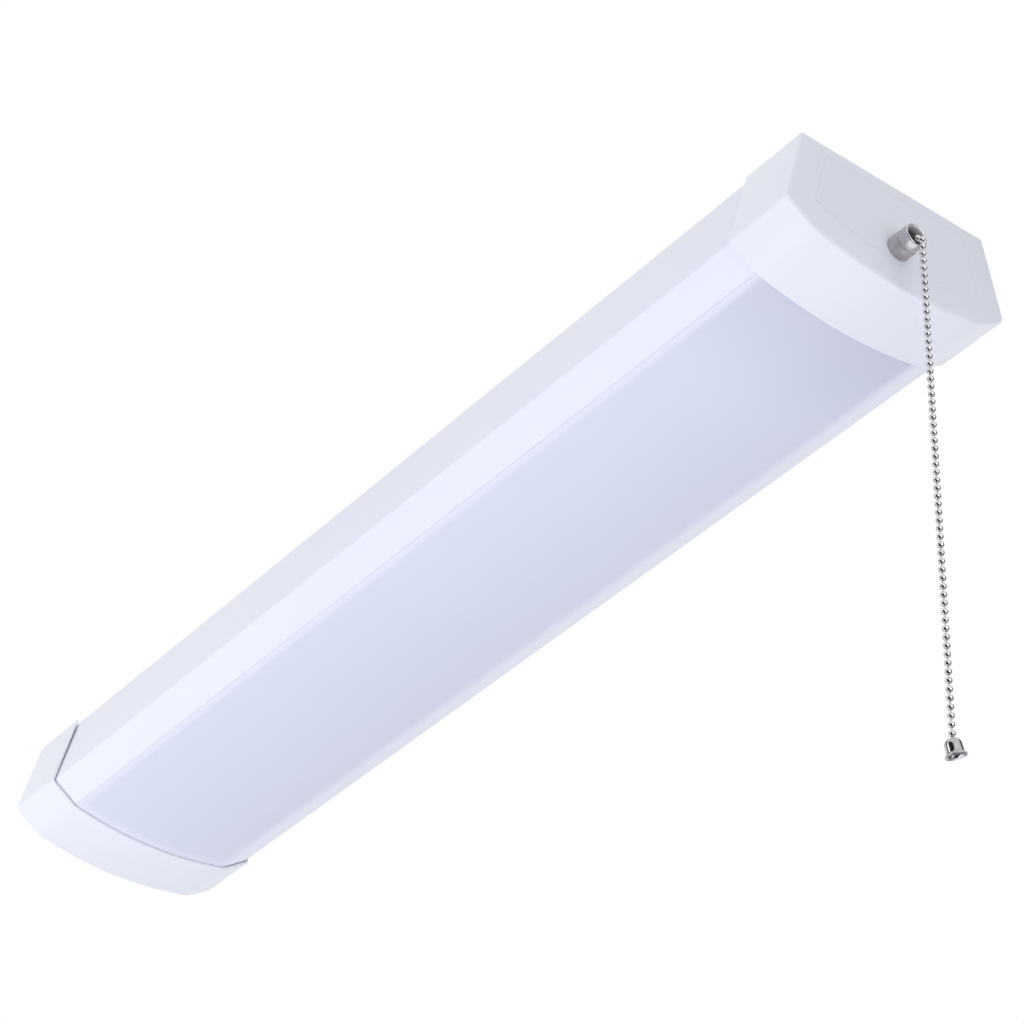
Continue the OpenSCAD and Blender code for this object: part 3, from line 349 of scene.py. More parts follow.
def loftAlongX(rings):
    # rings: (x, outline) pairs with the same count of points; both ends are closed
    points, faces = [], []
    count = len(rings[0][1])
    for x, outline in rings:
        points += [(x, p.x, p.y) for p in outline]
    for r in range(len(rings) - 1):
        for i in range(count):
            j = (i + 1) % count
            faces.append([r * count + i, r * count + j, (r + 1) * count + j, (r + 1) * count + i])
    faces.append(list(range(count)))
    faces.append([(len(rings) - 1) * count + i for i in range(count)])
    return points, faces


def solidMesh(name, points, faces):
    mesh = bpy.data.meshes.new(name)
    mesh.from_pydata([Vector(p) * mm for p in points], [], faces)
    faceOut(mesh)
    return mesh


def carve(mesh, cutters):
    # cuts the cutters' meshes out of the mesh, one after the other
    block = bpy.data.objects.new("blank", mesh)
    scene.collection.objects.link(block)
    tools = []
    for i, cutter in enumerate(cutters):
        tool = bpy.data.objects.new("cutter%d" % i, cutter)
        scene.collection.objects.link(tool)
        tools.append(tool)
        cut = block.modifiers.new("cut%d" % i, "BOOLEAN")
        cut.operation = "DIFFERENCE"
        cut.solver = "EXACT"
        cut.object = tool
    bpy.context.view_layer.update()
    done = bpy.data.meshes.new_from_object(block.evaluated_get(bpy.context.evaluated_depsgraph_get()))
    for tool in tools:
        bpy.data.objects.remove(tool)
    bpy.data.objects.remove(block)
    return done


def drum(centre, axis, radius, low, high, sides=48):
    # a closed cylinder along X or Z, in millimetres
    points, faces = [], []
    for end in (low, high):
        for i in range(sides):
            a = 2 * math.pi * i / sides
            u, v = radius * math.cos(a), radius * math.sin(a)
            if axis == "Z":
                points.append((centre[0] + u, centre[1] + v, end))
            else:
                points.append((end, centre[1] + u, centre[2] + v))
    for i in range(sides):
        j = (i + 1) % sides
        faces.append([i, j, sides + j, sides + i])
    faces += [list(range(sides)), [sides + i for i in range(sides)]]
    return points, faces


def joined(shapes):
    points, faces = [], []
    for somePoints, someFaces in shapes:
        start = len(points)
        points += somePoints
        faces += [[start + i for i in face] for face in someFaces]
    return points, faces


def turned(profile, steps, closed=True):
    # (radius, height) pairs turned round Z
    points, faces = [], []
    count = len(profile)
    for s in range(steps):
        a = 2 * math.pi * s / steps
        points += [(r * math.cos(a), r * math.sin(a), z) for r, z in profile]
    for s in range(steps):
        t = (s + 1) % steps
        for i in range(count if closed else count - 1):
            j = (i + 1) % count
            faces.append([s * count + i, s * count + j, t * count + j, t * count + i])
    return points, faces


def placed(shape, matrix):
    points, faces = shape
    return [tuple(matrix @ Vector(p)) for p in points], faces


# the section that the housing, diffuser and caps share: flank, strip and bow
light = dict(
    length=610, frontWidth=124, backWidth=104, sideHeight=42.2, stripHeight=8.8, bow=5.6,
    cornerRadius=4.5, blendRadius=20, bodyInset=1.6, foldIn=0.8, mouthHalf=46.4, sheet=1.0,
    lipHeight=5.5, endWall=2.0, endGap=0.3, lensInset=1.3, lensWall=1.6, barb=2.2, barbWall=1.2,
    seatGap=0.3, lensShort=7, capLength=36.6, capGap=0.4)

halfLength = light["length"] / 2
halfFront, halfBack = light["frontWidth"] / 2, light["backWidth"] / 2
mouthEdge = Vector((light["mouthHalf"], -light["sideHeight"] - light["stripHeight"]))
lensRadius = (light["mouthHalf"] ** 2 + light["bow"] ** 2) / (2 * light["bow"])
bowCentre = Vector((0, lensRadius + mouthEdge.y - light["bow"]))
bowRadius = lensRadius + light["lensInset"]
frontCorner = Vector((halfFront, -light["sideHeight"]))
flank = unit(frontCorner - Vector((halfBack, 0)))
flankIn = Vector((flank.y, -flank.x))
foldDepth = light["sideHeight"] - light["foldIn"]
bodyBack = Vector((halfBack - light["bodyInset"] / -flank.y, 0))
bodyFold = Vector((bodyBack.x + foldDepth * flank.x / -flank.y, -foldDepth))
strip = unit(mouthEdge - bodyFold)
stripIn = Vector((strip.y, -strip.x))


def bearing(v):
    return math.degrees(math.atan2(v.y, v.x))


def meet(p, a, q, b):
    # where the line through p along a meets the line through q along b
    return p + a * (q - p).cross(b) / a.cross(b)


def leave(p, a, radius):
    # where the line through p along a leaves the circle round the bow's centre
    q = p - bowCentre
    along = q.dot(a)
    return p + (math.sqrt(along ** 2 - q.dot(q) + radius ** 2) - along) * a


def capOutline():
    corner, blend = light["cornerRadius"], light["blendRadius"]
    cornerCentre = meet(Vector((halfBack, 0)) + corner * flankIn, flank,
                        frontCorner + corner * stripIn, strip)
    blendCentre = leave(frontCorner + blend * stripIn, strip, bowRadius - blend)
    blendEnd = bearing(blendCentre - bowCentre)
    right = [Vector((halfBack, 0))]
    right += arcPoints(cornerCentre, corner, bearing(-flankIn), bearing(-stripIn), 8)
    right += arcPoints(blendCentre, blend, bearing(-stripIn), blendEnd, 10)
    right += arcPoints(bowCentre, bowRadius, blendEnd, -90, 24)[1:]
    return right + mirrored(right[:-1])


def onLens(y, depth=0.0):
    return bowCentre.y - math.sqrt((lensRadius - depth) ** 2 - y ** 2)


def bodyOutline(steps=48):
    right = [bodyBack, bodyFold, mouthEdge]
    start = bearing(mouthEdge - bowCentre)
    front = arcPoints(bowCentre, lensRadius, start, -180 - start, steps)[1:-1]
    return right + front + mirrored(right)


paint = dict(light=rgb(240, 242, 251), deep=rgb(237, 239, 250), patchSize=5, gloss=(0.34, 0.42),
             grain=(1100, 0.6, 60, 0.5), strength=0.10, depth=0.0001)
moulded = dict(light=rgb(241, 242, 249), deep=rgb(238, 240, 248), patchSize=14, gloss=(0.30, 0.38),
               grain=(1600, 0.5, 30, 0.2), strength=0.10, depth=0.0001)

whitePaint = plainFinish("whitePaint", **paint)
whiteCap = plainFinish("whiteCap", **moulded)


# folded sheet with two lips, open along the front
housing = dict(outerBend=2.6, innerBend=1.6, lipBend=0.15, rimBend=0.3, screwX=203.2, screwY=30,
               screwHole=2.5, hangX=250, hangY=40, hangHole=2.2, entryX=-45, entryHole=11.1, pegX=287,
               pegY=38, pegHole=3.1, smallHoles=[(-10, 22), (79.5, 0), (208.5, 0)], smallHole=1.65)


def makeHousing():
    s = light["sheet"]
    lipTop = mouthEdge.y + light["lipHeight"]
    corners = [bodyBack, bodyFold, mouthEdge]
    hull = corners + mirrored(corners)
    inner = inset(hull, s)
    root = inner[1].y + (light["mouthHalf"] + s - inner[1].x) * strip.y / strip.x
    half = [bodyBack, bodyFold, mouthEdge, Vector((light["mouthHalf"], lipTop)),
            Vector((light["mouthHalf"] + s, lipTop)), Vector((light["mouthHalf"] + s, root)),
            inner[1], inner[0]]
    bends = [housing["outerBend"]] * 2 + [housing["lipBend"]] + [housing["rimBend"]] * 3
    bends += [housing["innerBend"]] * 2
    ring = half + mirrored(half)
    outline = rounded(ring, bends + list(reversed(bends)), 5)
    reach = halfLength - light["endWall"] - light["endGap"]
    blank = solidMesh("housingBlank", *loftAlongX([(-reach, outline), (reach, outline)]))
    holes = []
    low, high = -2, 1  # past both faces of the back
    for sx in (-1, 1):
        for sy in (-1, 1):
            for key in ("screw", "hang", "peg"):
                at = (sx * housing[key + "X"], sy * housing[key + "Y"], 0)
                holes.append(drum(at, "Z", housing[key + "Hole"], low, high))
    holes.append(drum((housing["entryX"], 0, 0), "Z", housing["entryHole"], low, high, 64))
    holes += [drum((x, y, 0), "Z", housing["smallHole"], low, high, 32)
              for x, y in housing["smallHoles"]]
    mesh = carve(blank, [solidMesh("backHoles", *joined(holes))])
    dressPiece("housingShell", mesh, whitePaint, "fixture", "painted_steel", "housing", smooth=24)


makeHousing()
print("shop light: housing folded")


# bowed milky lens, with painted light along its side rims and by the plain cap, and painted shade towards
# the switch end
diffuser = dict(groove=0.05, edge=0.15, legBend=0.35, milk=rgb(222, 225, 240),
                deepMilk=rgb(220, 223, 238), patchSize=6, rim=rgb(232, 234, 248), rimStart=5.4,
                rimFull=0.8, paintedShade=rgb(211, 213, 230), paintedShadeReach=70, paintedGlowReach=9.0, ior=1.49,
                gloss=(0.30, 0.36), grain=(2600, 0.5, 18, 0.3), strength=0.05, depth=0.00008)


def milkFinish():
    finish, tree, shader = newFinish("milkyLens")
    tone = addTone(tree, diffuser["milk"], diffuser["deepMilk"], diffuser["patchSize"])
    place = addNode(tree, "ShaderNodeTexCoord")
    split = addNode(tree, "ShaderNodeSeparateXYZ")
    joinUp(tree, place.outputs["Object"], split.inputs["Vector"])
    half = light["mouthHalf"] - diffuser["groove"]
    # painted light where the wall turns up into the rims and at the plain cap, painted shade towards the
    # switch
    side = bothSides(tree, split.outputs["Y"], (half - diffuser["rimStart"]) * mm,
                     (half - diffuser["rimFull"]) * mm)
    end = halfLength - light["capLength"]
    # painted glow on the lens beside the plain cap
    paintedGlow = spreadMask(tree, split.outputs["X"], (diffuser["paintedGlowReach"] - end) * mm, -end * mm)
    # painted shade on the lens, deepening towards the switch cap
    paintedShade = spreadMask(tree, split.outputs["X"], (end - diffuser["paintedShadeReach"]) * mm, end * mm)
    both = addNode(tree, "ShaderNodeMath", operation="MAXIMUM")
    joinUp(tree, side.outputs["Result"], both.inputs[0])
    joinUp(tree, paintedGlow.outputs["Result"], both.inputs[1])
    deep = addNode(tree, "ShaderNodeMix", data_type="RGBA")
    joinUp(tree, paintedShade.outputs["Result"], deep.inputs["Factor"])
    joinUp(tree, tone.outputs["Color"], deep.inputs["A"])
    deep.inputs["B"].default_value = diffuser["paintedShade"]
    mix = addNode(tree, "ShaderNodeMix", data_type="RGBA")
    joinUp(tree, both.outputs[0], mix.inputs["Factor"])
    joinUp(tree, deep.outputs["Result"], mix.inputs["A"])
    # the rim colour is painted light, standing in for the brighter lit rims
    mix.inputs["B"].default_value = diffuser["rim"]
    joinUp(tree, mix.outputs["Result"], shader.inputs["Base Color"])
    shader.inputs["IOR"].default_value = diffuser["ior"]
    bumps = addGrain(tree, shader, *diffuser["grain"], diffuser["strength"], diffuser["depth"])
    addGloss(tree, shader, bumps, *diffuser["gloss"])
    return finish


def spreadMask(tree, socket, low, high):
    spread = addNode(tree, "ShaderNodeMapRange", interpolation_type="SMOOTHSTEP")
    spread.inputs["From Min"].default_value = low
    spread.inputs["From Max"].default_value = high
    joinUp(tree, socket, spread.inputs["Value"])
    return spread


def bothSides(tree, socket, low, high):
    away = addNode(tree, "ShaderNodeMath", operation="ABSOLUTE")
    joinUp(tree, socket, away.inputs[0])
    return spreadMask(tree, away.outputs[0], low, high)


def makeDiffuser():
    legTop = mouthEdge.y + light["lipHeight"] + light["seatGap"]
    half = light["mouthHalf"] - diffuser["groove"]
    inner = half - light["lensWall"]
    steps = 64
    barb, barbTop = half + light["barb"], legTop + light["barbWall"]
    side = [Vector(p) for p in ((inner, barbTop), (barb, barbTop), (barb, legTop), (half, legTop))]
    skin = [Vector((half * (1 - 2 * i / steps), 0)) for i in range(steps + 1)]
    skin = [Vector((p.x, onLens(p.x))) for p in skin]
    under = [inner * (1 - 2 * i / steps) for i in range(steps, -1, -1)]
    under = [Vector((y, onLens(y, light["lensWall"]))) for y in under]
    ring = side + skin + mirrored(side) + under
    bends = [0] * len(ring)
    far = len(side) + len(skin)
    for i in (0, 1, 2, far + 1, far + 2, far + 3):
        bends[i] = diffuser["legBend"]
    bends[len(side)] = bends[far - 1] = diffuser["edge"]
    outline = rounded(ring, bends, 4)
    reach, capInner = halfLength - light["endWall"] - light["lensShort"], halfLength - light["capLength"]
    rings = [(x, outline) for x in (-reach, -capInner, capInner, reach)]
    meshPiece("bowedLens", *loftAlongX(rings), milkFinish(), "fixture", "diffuser", "diffuser", smooth=32)


makeDiffuser()
print("shop light: diffuser drawn")


# moulded end caps with an engraved line in the end face and two snap tongues
cap = dict(edge=1.4, innerEdge=0.4, panelInset=13.5, panelFront=44.2, panelBow=8.6, panelTop=6,
           panelCorner=2.0, panelLine=0.3, panelDepth=0.15, lensGap=0.15, bushingZ=-36.5, bushingHole=5.1,
           tongueY=38, tongueWidth=12, tongueLength=24, tongueWall=2, pegRadius=2.8)


def edgeRings(outline, x, outward, radius, steps):
    # a quarter round along the outline, up to the face at x
    turns = [math.radians(90 * k / steps) for k in range(steps + 1)]
    return [(x - outward * radius * (1 - math.sin(a)), inset(outline, radius * (1 - math.cos(a))))
            for a in turns]


def makeCap(name, node, side, hole):
    outline = capOutline()
    inner = halfLength - light["capLength"]
    rings = edgeRings(outline, inner, -1, cap["innerEdge"], 3)[::-1]
    rings += edgeRings(outline, halfLength, 1, cap["edge"], 6)
    block = solidMesh(name + "Blank", *loftAlongX(rings))
    # the pocket clears the sheet by capGap and the lens by lensGap, and is open at the back
    pocket = inset(bodyOutline(), -light["capGap"])
    pocket[3:-3] = inset(bodyOutline(), -cap["lensGap"])[3:-3]
    pocket[0].y += 3
    pocket[-1].y += 3
    floor = halfLength - light["endWall"]
    cutters = [solidMesh("pocket", *loftAlongX([(inner - 2, pocket), (floor, pocket)]))]
    cutters.append(panelGroove())
    if hole:
        cutters.append(solidMesh("bushingHole", *drum((0, 0, cap["bushingZ"]), "X", cap["bushingHole"],
                                                      halfLength - 6, halfLength + 1)))
    shell = carve(block, cutters)
    parts = [tongue(s) for s in (-1, 1)]
    whole = bmesh.new()
    whole.from_mesh(shell)
    whole.from_mesh(solidMesh("tongues", *joined(parts)))
    if side < 0:
        bmesh.ops.scale(whole, vec=(-1, 1, 1), verts=whole.verts)
    whole.to_mesh(shell)
    whole.free()
    dressPiece(name, shell, whiteCap, "fixture", "cap_plastic", node, smooth=24)


def panelOutline(depth):
    half = halfBack - (cap["panelInset"] + depth) / -flank.y
    spread = flank.x / -flank.y
    cornerZ, middleZ = cap["panelFront"] - cap["panelBow"] - depth, cap["panelFront"] - depth
    topZ = cap["panelTop"] + depth
    corner = half + cornerZ * spread
    radius = (corner ** 2 + (middleZ - cornerZ) ** 2) / (2 * (middleZ - cornerZ))
    start = math.degrees(math.atan2(middleZ - cornerZ - radius, corner))
    top = Vector((half + topZ * spread, -topZ))
    front = arcPoints(Vector((0, radius - middleZ)), radius, start, -180 - start, 40)
    bends = [cap["panelCorner"]] * 2 + [0] * 39 + [cap["panelCorner"]] * 2
    return rounded([top] + front + [Vector((-top.x, top.y))], bends, 5)


def panelGroove():
    # a thin frame: the same outline twice, one line's width apart
    low, high = halfLength - cap["panelDepth"], halfLength + 1
    wide, narrow = panelOutline(0), panelOutline(cap["panelLine"])
    count = len(wide)
    points = [(low, p.x, p.y) for p in wide] + [(high, p.x, p.y) for p in wide]
    points += [(low, p.x, p.y) for p in narrow] + [(high, p.x, p.y) for p in narrow]
    faces = []
    for i in range(count):
        j = (i + 1) % count
        faces.append([i, j, count + j, count + i])
        faces.append([2 * count + i, 2 * count + j, 3 * count + j, 3 * count + i])
        faces.append([i, j, 2 * count + j, 2 * count + i])
        faces.append([count + i, count + j, 3 * count + j, 3 * count + i])
    return solidMesh("panelGroove", points, faces)


def tongue(side):
    tip = halfLength - light["endWall"] - cap["tongueLength"]
    top = -light["sheet"] - light["seatGap"]
    w = cap["tongueWidth"] / 2
    y = side * cap["tongueY"]
    low = top - cap["tongueWall"]
    plate = [Vector(p) for p in ((y - w, top), (y + w, top), (y + w, low), (y - w, low))]
    plate = rounded(plate, 0.5, 3)
    root = halfLength - light["endWall"]
    blade = loftAlongX([(tip, inset(plate, 0.3)), (tip + 0.5, plate), (root, plate)])
    r = cap["pegRadius"]
    pegLine = [(0.01, -1.2), (r, -1.2), (r, 0.7), (r - 0.3, 1.0), (0.01, 1.0)]
    peg = placed(turned(pegLine, 32, False), Matrix.Translation((tip + w, y, top)))
    return joined([blade, peg])


makeCap("switchCap", "end_cap_switch", 1, True)
makeCap("plainCap", "end_cap_plain", -1, False)
print("shop light: end caps moulded")


# satin nut, and a spout that is a little smoother
nickel = dict(light=(0.74, 0.73, 0.74, 1), deep=(0.62, 0.61, 0.62, 1), patchSize=160, gloss=(0.05, 0.10),
              metallic=1.0, grain=(2600, 0.5, 300, 0.3), strength=0.06, depth=0.00004)
satin = dict(light=(0.58, 0.555, 0.56, 1), deep=(0.50, 0.48, 0.485, 1), patchSize=220, gloss=(0.40, 0.50),
             metallic=1.0, grain=(3200, 0.8, 400, 0.3), strength=0.12, depth=0.00005)
spoutTone = dict(gloss=(0.18, 0.26), inside=(0.86, 0.86, 0.88, 1), insideGloss=0.55, blend=(-0.15, 0.05),
                 grain=(3200, 0.6, 400, 0.3), strength=0.06, depth=0.00004)
bushing = dict(z=-36.5, nutStart=305, nutEnd=311, nutRadius=6.0, nutBore=5.05, nutEdge=0.15, chamfer=0.25,
               spoutRadius=5.9, spoutLength=5.8, spoutEdge=0.2, mouth=4.3, seat=3.0, seatBore=5.05, lip=0.6)

polishedNickel = plainFinish("polishedNickel", **nickel)
satinNickel = plainFinish("satinNickel", **satin)


def spoutFinish():
    # paler and duller inside the mouth than outside it
    finish, tree, shader = newFinish("spoutNickel")
    shader.inputs["Metallic"].default_value = 1.0
    tone = addTone(tree, satin["light"], satin["deep"], satin["patchSize"])
    place = addNode(tree, "ShaderNodeTexCoord")
    across = addNode(tree, "ShaderNodeVectorMath", operation="MULTIPLY_ADD")
    across.inputs[1].default_value = (0, 1, 1)
    across.inputs[2].default_value = (0, 0, -bushing["z"] * mm)
    away = addNode(tree, "ShaderNodeVectorMath", operation="LENGTH")
    joinUp(tree, place.outputs["Object"], across.inputs[0])
    joinUp(tree, across.outputs["Vector"], away.inputs[0])
    crest = bushing["spoutRadius"] - bushing["lip"]
    low, high = spoutTone["blend"]
    outside = spreadMask(tree, away.outputs["Value"], (crest + low) * mm, (crest + high) * mm)
    color = addNode(tree, "ShaderNodeMix", data_type="RGBA")
    color.inputs["A"].default_value = spoutTone["inside"]
    joinUp(tree, outside.outputs["Result"], color.inputs["Factor"])
    joinUp(tree, tone.outputs["Color"], color.inputs["B"])
    joinUp(tree, color.outputs["Result"], shader.inputs["Base Color"])
    grain = addGrain(tree, shader, *spoutTone["grain"], spoutTone["strength"], spoutTone["depth"])
    speckle = addNode(tree, "ShaderNodeMapRange")
    speckle.inputs["To Min"].default_value, speckle.inputs["To Max"].default_value = spoutTone["gloss"]
    joinUp(tree, grain.outputs["Speckle"], speckle.inputs["Value"])
    gloss = addNode(tree, "ShaderNodeMix")
    gloss.inputs["A"].default_value = spoutTone["insideGloss"]
    joinUp(tree, outside.outputs["Result"], gloss.inputs["Factor"])
    joinUp(tree, speckle.outputs["Result"], gloss.inputs["B"])
    joinUp(tree, gloss.outputs["Result"], shader.inputs["Roughness"])
    return finish


spoutNickel = spoutFinish()


def alongBushing(x):
    return Matrix.Translation((x, 0, bushing["z"])) @ Matrix.Rotation(math.radians(90), 4, "Y")


def makeNut():
    r, bore, e = bushing["nutRadius"], bushing["nutBore"], bushing["nutEdge"]
    high, chamfer = bushing["nutEnd"] - bushing["nutStart"], bushing["chamfer"]
    quarter = [math.radians(t) for t in range(0, 91, 18)]
    profile = [(bore, chamfer), (bore + chamfer, 0)]
    profile += [(r - e + e * math.sin(a), e * (1 - math.cos(a))) for a in quarter]
    profile += [(r - e + e * math.cos(a), high - e + e * math.sin(a)) for a in quarter]
    profile += [(bore + chamfer, high), (bore, high - chamfer)]
    shape = placed(turned(profile, 96), alongBushing(bushing["nutStart"]))
    meshPiece("satinNut", *shape, satinNickel, "fixture", "nut_nickel", "bushing_nut", smooth=40)


def makeSpout():
    r, mouth, lip, long = (bushing[key] for key in ("spoutRadius", "mouth", "lip", "spoutLength"))
    seat, edge = bushing["seat"], bushing["spoutEdge"]
    crest = r - lip
    profile = [(bushing["seatBore"], 0), (r - edge, 0), (r, edge)]
    profile += [(crest + lip * math.cos(a), long - lip + lip * math.sin(a))
                for a in [math.radians(t) for t in range(0, 91, 15)]]
    profile += [(crest - (crest - mouth) * math.sin(a), seat + edge + (long - seat - edge) * math.cos(a))
                for a in [math.radians(t) for t in range(10, 91, 10)]]
    profile += [(mouth, seat), (bushing["seatBore"], seat)]
    shape = placed(turned(profile, 96), alongBushing(bushing["nutEnd"]))
    meshPiece("roundSpout", *shape, spoutNickel, "fixture", "spout_nickel", "spout", smooth=40)


makeNut()
makeSpout()
print("shop light: bushing turned")


chain = dict(ballRadius=1.5, wall=0.25, eyelet=0.45, wire=0.32, head=0.55, pitch=4.0, balls=62,
             bendX=316.95, runZ=-38.7, linkFree=1.8, headPlay=0.08)
bendRadius = chain["pitch"] / (math.pi / 2)
dropX = chain["bendX"] + bendRadius
leadZ = chain["runZ"] - bendRadius
swivelZ = leadZ - chain["pitch"]
hangZ = swivelZ - chain["pitch"]
lastZ = hangZ - (chain["balls"] - 1) * chain["pitch"]
headOff = chain["ballRadius"] - chain["wall"] - chain["head"] - chain["headPlay"]


def ballShape(steps=24):
    # a hollow ball whose two eyelets curl in a little
    r, e, w = chain["ballRadius"], chain["eyelet"], chain["wall"]
    start = math.degrees(math.asin((e + 0.12) / r))
    outer = [(r * math.sin(math.radians(a)), r * math.cos(math.radians(a)))
             for a in [start + (180 - 2 * start) * i / 16 for i in range(17)]]
    inner = [((r - w) * math.sin(math.radians(a)), (r - w) * math.cos(math.radians(a)))
             for a in [180 - start - (180 - 2 * start) * i / 8 for i in range(9)]]
    rimLow = [(e, -(r - 0.14)), (e, -(r - w - 0.02))]
    rimHigh = [(e, r - w - 0.02), (e, r - 0.14)]
    return turned(outer + rimLow + inner + rimHigh, steps)


def sphereShape(radius, steps=12):
    profile = [(radius * math.sin(math.pi * i / 8), radius * math.cos(math.pi * i / 8)) for i in range(9)]
    profile[0], profile[-1] = (0.004, radius), (0.004, -radius)
    return turned(profile, steps, False)


def rodShape(radius, low, high, steps=12):
    return drum((0, 0, 0), "Z", radius, low, high, steps)


def linkShape(start, end, farHead=True):
    heads = (start, end) if farHead else (start,)
    parts = [rodShape(chain["wire"], -end, -start)]
    parts += [placed(sphereShape(chain["head"]), Matrix.Translation((0, 0, -z))) for z in heads]
    return joined(parts)


def at(x, z, lean=0):
    return Matrix.Translation((x, 0, z)) @ Matrix.Rotation(math.radians(lean), 4, "Y")


def chainPiece(name, shape, body, *nodes):
    return meshPiece(name, *shape, polishedNickel, body, "chain_nickel", *nodes, smooth=35)


def makeChain():
    p, last = chain["pitch"], chain["pitch"] - headOff
    ball = ballShape()
    freeLink = linkShape(headOff, chain["linkFree"], False)
    inner = [chain["bendX"] - (3 + i) * p for i in range(3)]
    balls = [placed(ball, at(x, chain["runZ"], -90)) for x in inner]
    chainPiece("innerBalls", joined(balls), "chain_inner", "chain_inner_balls")
    innerLinks = [placed(freeLink, at(inner[0], chain["runZ"], -90))]
    innerLinks += [placed(linkShape(headOff, last), at(x, chain["runZ"], -90)) for x in inner[1:]]
    chainPiece("innerLinks", joined(innerLinks), "chain_inner", "chain_inner_links")
    for name, x, lean, body in (("bendFirst", chain["bendX"] - 2 * p, -90, "chain_bend_first"),
                                ("bendMiddle", chain["bendX"] - p, -90, "chain_bend_middle"),
                                ("bendLast", chain["bendX"], -45, "chain_bend_last")):
        chainPiece(name, placed(joined([ball, freeLink]), at(x, chain["runZ"], lean)), body, body)
    chainPiece("leadBall", placed(ball, at(dropX, leadZ)), "chain_lead", "chain_lead_ball")
    linkEnd = p - chain["ballRadius"] - 0.12  # just short of the next ball
    stub = rodShape(chain["wire"], chain["ballRadius"] - 0.3, linkEnd)
    chainPiece("swivelBall", placed(joined([ball, stub]), at(dropX, swivelZ)), "chain_swivel",
               "chain_swivel_ball")
    balls = [placed(ball, at(dropX, hangZ - i * p)) for i in range(chain["balls"])]
    chainPiece("hangingBalls", joined(balls), "chain_hang", "chain_balls")
    first = joined([rodShape(chain["wire"], headOff, linkEnd),
                    placed(sphereShape(chain["head"]), Matrix.Translation((0, 0, headOff)))])
    links = [placed(first, at(dropX, hangZ))]
    links += [placed(linkShape(headOff, last), at(dropX, hangZ - i * p)) for i in range(chain["balls"] - 1)]
    chainPiece("hangingLinks", joined(links), "chain_hang", "chain_links")


makeChain()
print("shop light: chain strung,", chain["balls"], "balls below the swivel")


bell = dict(height=7, rim=4.5, waist=3.5, hole=1.25, wall=0.5, lean=21, bearing=100, domeHeight=2.6)
bellMetal = dict(light=(0.58, 0.57, 0.58, 1), deep=(0.40, 0.39, 0.40, 1), patchSize=260,
                 gloss=(0.10, 0.18), metallic=1.0, grain=(2600, 0.5, 300, 0.3), strength=0.08,
                 depth=0.00004)


def smoothLine(points, steps):
    # a soft curve through the given points
    done = []
    for i in range(len(points) - 1):
        a, b = points[max(i - 1, 0)], points[i]
        c, d = points[i + 1], points[min(i + 2, len(points) - 1)]
        for k in range(steps):
            t = k / steps
            done.append(tuple(0.5 * (2 * b[j] + (c[j] - a[j]) * t
                                     + (2 * a[j] - 5 * b[j] + 4 * c[j] - d[j]) * t * t
                                     + (3 * b[j] - a[j] - 3 * c[j] + d[j]) * t ** 3) for j in (0, 1)))
    return done + [points[-1]]


def makeBell():
    w, hole, waist, rim = bell["wall"], bell["hole"], bell["waist"], bell["rim"]
    crownIn = math.sqrt((chain["ballRadius"] + 0.1) ** 2 - hole ** 2)
    crown = crownIn + w
    foot = crown - bell["height"]
    high = bell["domeHeight"]
    skirt, flare = bell["height"] - high, rim - waist
    quarter = [math.radians(a) for a in range(0, 91, 15)]
    dome = [(hole + (waist - hole) * math.sin(a), crown - high * (1 - math.cos(a))) for a in quarter]
    lower = [(waist + 0.08 * flare, foot + 0.5 * skirt), (waist + 0.3 * flare, foot + 0.25 * skirt),
             (rim - 0.25 * flare, foot + 0.12 * skirt), (rim, foot + 0.06 * skirt)]
    outer = dome + smoothLine([dome[-1]] + lower, 4)[1:]
    inner = [(max(r - w, hole), z) for r, z in reversed(outer)
             if foot + 0.17 * skirt < z < crown - high]
    underDome = [(hole + (waist - w - hole) * math.sin(a), crownIn - (high - 0.3) * (1 - math.cos(a)))
                 for a in reversed(quarter)]
    profile = outer + [(rim, foot + 0.12), (rim - 0.12, foot), (rim - w, foot + 0.05)] + inner + underDome
    turn = Matrix.Translation((dropX, 0, lastZ)) @ Matrix.Rotation(math.radians(bell["bearing"]), 4, "Z") \
        @ Matrix.Rotation(math.radians(-bell["lean"]), 4, "Y")
    shape = placed(turned(profile, 96), turn)
    finish = plainFinish("bellNickel", **bellMetal)
    meshPiece("pullBell", *shape, finish, "bell", "bell_nickel", "bell", smooth=50)


makeBell()
print("shop light: bell hung")


